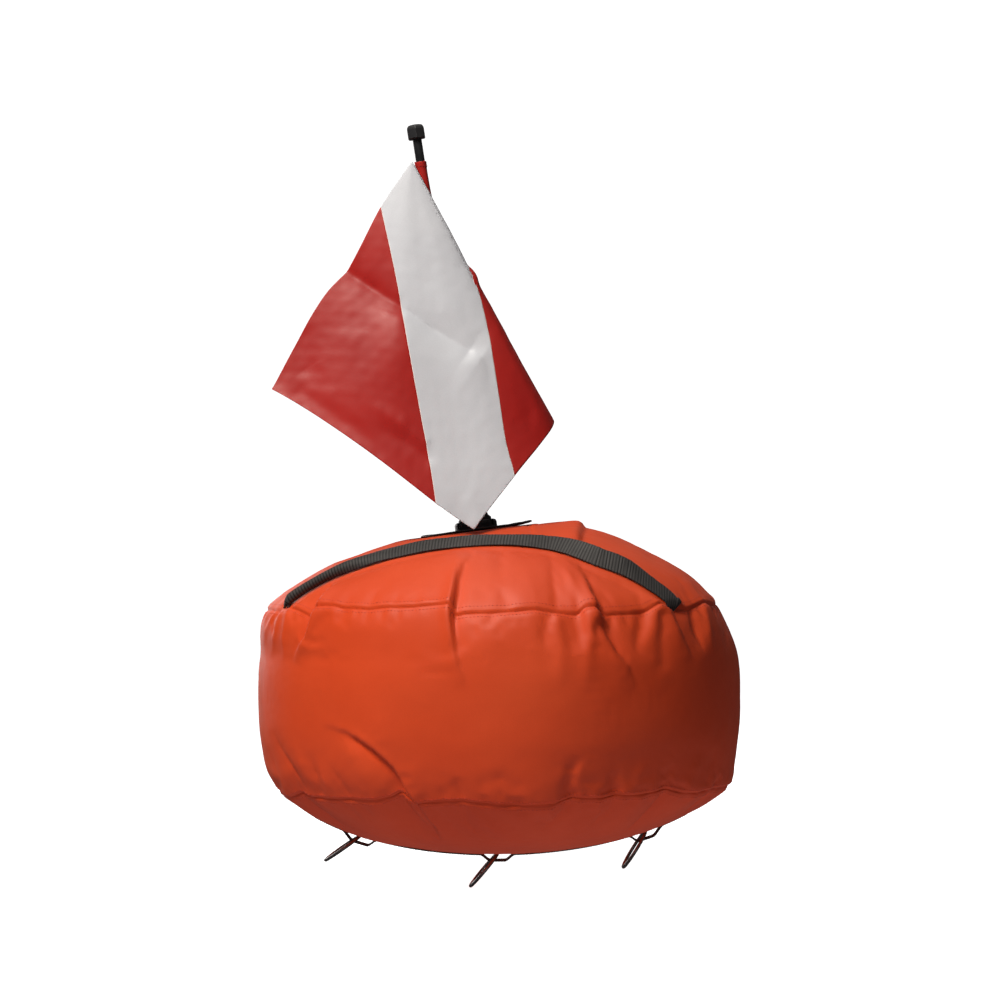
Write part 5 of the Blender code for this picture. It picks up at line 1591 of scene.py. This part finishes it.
def build_flag():
    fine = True
    s, w = FLAG_SIDE, STRIPE
    # stripe: q across, from one edge to the other, p along
    near = 0.0011 * math.sqrt(2)
    inner = np.linspace(-w + near, w - near, 56 if fine else 24)
    q = np.concatenate([[-w], inner, [w]])[:, None]
    along = np.linspace(0, 1, 210 if fine else 80)[None]
    lo, hi = np.abs(q) / 2, s - np.abs(q) / 2
    lo = np.maximum(lo, 0.0012)
    p = lo + (hi - lo) * along
    u, v = p + q / 2, p - q / 2
    u, v = np.maximum(u, 0.0), np.maximum(v, 0.0)
    rows, cols = u.shape
    mat_of = np.zeros((rows - 1, cols - 1), int)
    mat_of[0] = mat_of[-1] = 1
    stripe = cloth_slab("flag_stripe_cloth", u, v, mat_of.ravel().tolist(), [FLAG_WHITE, FLAG_EDGE], 0.0, 0.0005)
    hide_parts("flag_stripe")
    over = 0.006
    for lower in (True, False):
        # red half: q from under the stripe to its far corner
        q = np.concatenate([np.linspace(w - over, w + 0.01, 10), np.linspace(w + 0.01, s - 0.0012, 74 if fine else 30)[1:]])[:, None]
        t = np.linspace(0, 1, 110 if fine else 44)[None]
        side = np.maximum(s - q, 0.0) * t
        u, v = (side, side + q) if lower else (side + q, side)
        rows, cols = u.shape
        under = smooth((w + 0.0025 - q) / 0.006)
        offset = -0.00075 * np.broadcast_to(under, u.shape)
        name = "flag_lower_cloth" if lower else "flag_upper_cloth"

        def step(uu, vv, pp, lower=lower):
            """The lower half stands out a little beside the stripe's start at the turned edge."""
            if not lower:
                return np.zeros_like(pp)
            f = np.exp(-(((vv - 0.170) / 0.012) ** 2)) * smooth((vv - 0.157) / 0.006)
            th = np.degrees(np.arctan2(uu, np.maximum(vv, 1e-6)))
            f *= np.exp(-(((th - 25.5) / 4.0) ** 2))
            return CAM_RIGHT[None] * (f * 0.0045)[:, None]

        red = cloth_slab(name, u, v, [0] * ((rows - 1) * (cols - 1)), [FLAG_RED], offset, 0.0005,
                         step)
        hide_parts("flag_lower_panel" if lower else "flag_upper_panel")


def build_sleeve():
    """The red sleeve round the mast, with its hemmed ends and the seam that holds the flag."""
    low, top = SLEEVE_TOP - FLAG_SIDE, SLEEVE_TOP
    end = math.hypot(0.0085, 0.0105)
    a0 = math.atan2(-0.0105, -0.0085)
    offs = np.radians(np.concatenate([[0.0, 1.7, 2.9], np.linspace(8, 352, 60), [357.1, 358.3]]))
    phi = a0 + offs
    n = 170
    z = np.concatenate([[low, low + 0.0004], np.linspace(low + 0.0010, top - 0.0010, n), [top - 0.0004, top]])
    wav = Waves(83, 16, 8.0, 40.0, dims=2)
    twist = Waves(84, 8, 6.0, 22.0, dims=2)
    outer, inner = [], []
    for zz in z:
        x = np.cos(phi) * 0.02
        y = np.sin(phi) * 0.02
        crumple = wav(x * 1.2 + zz * 0.7, y * 1.2 + zz) * 0.00028 + np.abs(twist(x * 3 + zz, y * 3 - zz * 0.6)) * 0.00035
        hem = 0.00045 * (smooth((zz - (top - 0.0085)) / 0.0008) + smooth((low + 0.0085 - zz) / 0.0008))
        edge = -0.0003 * (np.exp(-((zz - top) / 0.0006) ** 2) + np.exp(-((zz - low) / 0.0006) ** 2))
        r = SLEEVE_OUT - 0.0001 + crumple + hem + edge
        tail = np.zeros(len(offs))
        tail[0] = tail[1] = tail[-1] = 1.0
        wobble = 0.0003 * math.sin(zz * 90.0)
        r = np.where(tail > 0, end - 0.0003 - (offs > 0) * 0.0002, r)
        px, py = r * np.cos(phi), r * np.sin(phi)
        px, py = px - tail * math.sin(a0) * wobble, py + tail * math.cos(a0) * wobble
        outer.append(np.stack([px, py, np.full(len(offs), zz)], axis=1))
        inner.append(np.stack([0.00718 * np.cos(phi), 0.00718 * np.sin(phi), np.full(len(offs), zz)], axis=1))
    k = len(offs)
    rows = outer + inner[::-1]
    verts = np.concatenate(rows)
    m = np.array(mast_matrix())
    verts = verts @ m[:3, :3].T + m[:3, 3]
    faces = grid_faces(len(rows), k, wrap=True)
    last = (len(rows) - 1) * k
    for j in range(k):
        i = (j + 1) % k
        faces.append([last + j, j, i, last + i])
    uv = np.concatenate([np.stack([offs * 0.0084, r[:, 2]], axis=1) for r in rows])
    obj = link("sleeve_cloth", verts, faces, FLAG_RED, uvs=uv)
    outward_faces(obj)
    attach(obj, "flag")
    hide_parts("flag_sleeve")
    # thread round both hems
    runs = []
    fine = np.linspace(a0 + 0.12, a0 + 2 * math.pi - 0.12, 300)
    for zz in (top - 0.0072, low + 0.0072):
        r = SLEEVE_OUT + 0.00085
        pts = np.stack([r * np.cos(fine), r * np.sin(fine), np.full(300, zz)], axis=1)
        nn = np.stack([np.cos(fine), np.sin(fine), 0 * fine], axis=1)
        runs.append(stitches(pts @ m[:3, :3].T + m[:3, 3], nn @ m[:3, :3].T, 0.0022, 0.0032, 0.0003))
    sew("sleeve_stitches", runs, RED_THREAD, "flag")


# --------------------------------------------------------------- floor, light
def add_stage():
    scene = bpy.context.scene
    scene.view_settings.view_transform = "Standard"
    scene.view_settings.look = "None"
    mat, nodes, links, shader = new_material("floor")
    coord = nodes.new("ShaderNodeTexCoord")
    n = noise_node(nodes, links, coord.outputs["Object"], 3.0, 4.0)
    tone = ramp(nodes, [(0.3, grey(0.86)), (0.7, grey(0.88))])
    links.new(n.outputs["Fac"], tone.inputs["Fac"])
    links.new(tone.outputs["Color"], shader.inputs["Base Color"])
    shader.inputs["Roughness"].default_value = 0.9
    shader.inputs["Specular IOR Level"].default_value = 0.1
    shader.inputs["Emission Color"].default_value = (1.0, 1.0, 1.0, 1.0)
    shader.inputs["Emission Strength"].default_value = 1.0
    # floor that turns up into a backdrop all round, far from the object
    rings = [(0.0, 0.0)]
    for r in (1.0, 2.5, 4.5, 6.5):
        rings.append((r, 0.0))
    for k in range(1, 13):
        t = k / 12 * math.pi / 2
        rings.append((6.5 + 3.0 * math.sin(t), 3.0 * (1 - math.cos(t))))
    rings.append((9.5, 9.0))
    n = 64
    verts = [(0, 0, -0.004)]
    for r, z in rings[1:]:
        for k in range(n):
            t = 2 * math.pi * k / n
            verts.append((r * math.cos(t), r * math.sin(t), z - 0.004))
    faces = [(0, 1 + k, 1 + (k + 1) % n) for k in range(n)]
    for i in range(len(rings) - 2):
        for k in range(n):
            p, q = 1 + i * n, 1 + (i + 1) * n
            faces.append((p + k, q + k, q + (k + 1) % n, p + (k + 1) % n))
    floor = link("floor", verts, faces, mat)
    floor.visible_diffuse = False
    floor.visible_glossy = False

    def area(name, at, to, size, power, colour=(1, 1, 1), glossy=True):
        data = bpy.data.lights.new(name, "AREA")
        data.shape = "RECTANGLE"
        data.size, data.size_y = size
        data.energy = power
        data.color = colour
        lamp = bpy.data.objects.new(name, data)
        scene.collection.objects.link(lamp)
        d = Vector(to) - Vector(at)
        lamp.rotation_euler = d.to_track_quat("-Z", "Y").to_euler()
        lamp.location = at
        lamp.visible_camera = False
        lamp.visible_glossy = glossy
        return lamp

    area("key", (-1.85, -2.5, 3.75), (0.0, 0.0, 0.5), (1.5, 1.5), 226.0, (1.0, 0.985, 0.965), False)
    high = area("high", (-1.0, -1.8, 4.6), (0.0, 0.0, 0.5), (1.8, 1.8), 230.0, (1.0, 0.94, 0.84))
    high.visible_diffuse = False
    area("low", (0.0, -2.2, 0.25), (0.0, 0.0, 0.25), (2.4, 0.8), 1.6, (1.0, 0.86, 0.84))
    rim = area("rim", (-1.6, 2.6, 1.0), (0.0, 0.0, 0.3), (1.5, 1.5), 21.0, (1.0, 0.95, 0.93))
    rim.visible_diffuse = False
    area("bounce", (-0.15, -0.35, -0.001), (-0.15, -0.35, 1.0), (1.9, 1.3), 3.7, (1.0, 0.82, 0.84), False)
    area("top", (0.3, 0.6, 3.6), (0.0, 0.0, 0.4), (2.2, 2.2), 9.0)
    area("rear", (1.4, 3.2, 2.2), (0.0, 0.0, 0.4), (2.0, 2.0), 26.0, (0.97, 0.98, 1.0), False)
    world = bpy.data.worlds.new("world")
    scene.world = world
    world.use_nodes = True
    bg = next(n for n in world.node_tree.nodes if n.type == "BACKGROUND")
    bg.inputs["Color"].default_value = (1.0, 0.88, 0.88, 1.0)
    bg.inputs["Strength"].default_value = 0.06


add_stage()
COVER, COVER_ROWS, COVER_SHAPE, COVER_NORMAL, COVER_A = build_cover()
build_bladder()
build_handle(True)
build_handle(False)
build_strap()
build_rings()
build_patch()
build_zip()
build_seam_thread()
build_flag()
build_sleeve()

PAINT = {
    "black_webbing": WEBBING, "black_rubber": RUBBER, "black_plastic": PLASTIC, "grey_plastic": GREY_PLASTIC,
    "bladder_film": FILM, "polished_steel": STEEL, "zip_tape": ZIP_TAPE, "zip_chain": ZIP_COIL,
    "flag_red": FLAG_RED, "flag_white": FLAG_WHITE, "orange_fabric": ORANGE,
}
for part in frame["record"]["subparts"]:
    node = NODES[part["node"]]
    for s in node.material_slots:
        s.material = PAINT[part["material_slot"]]
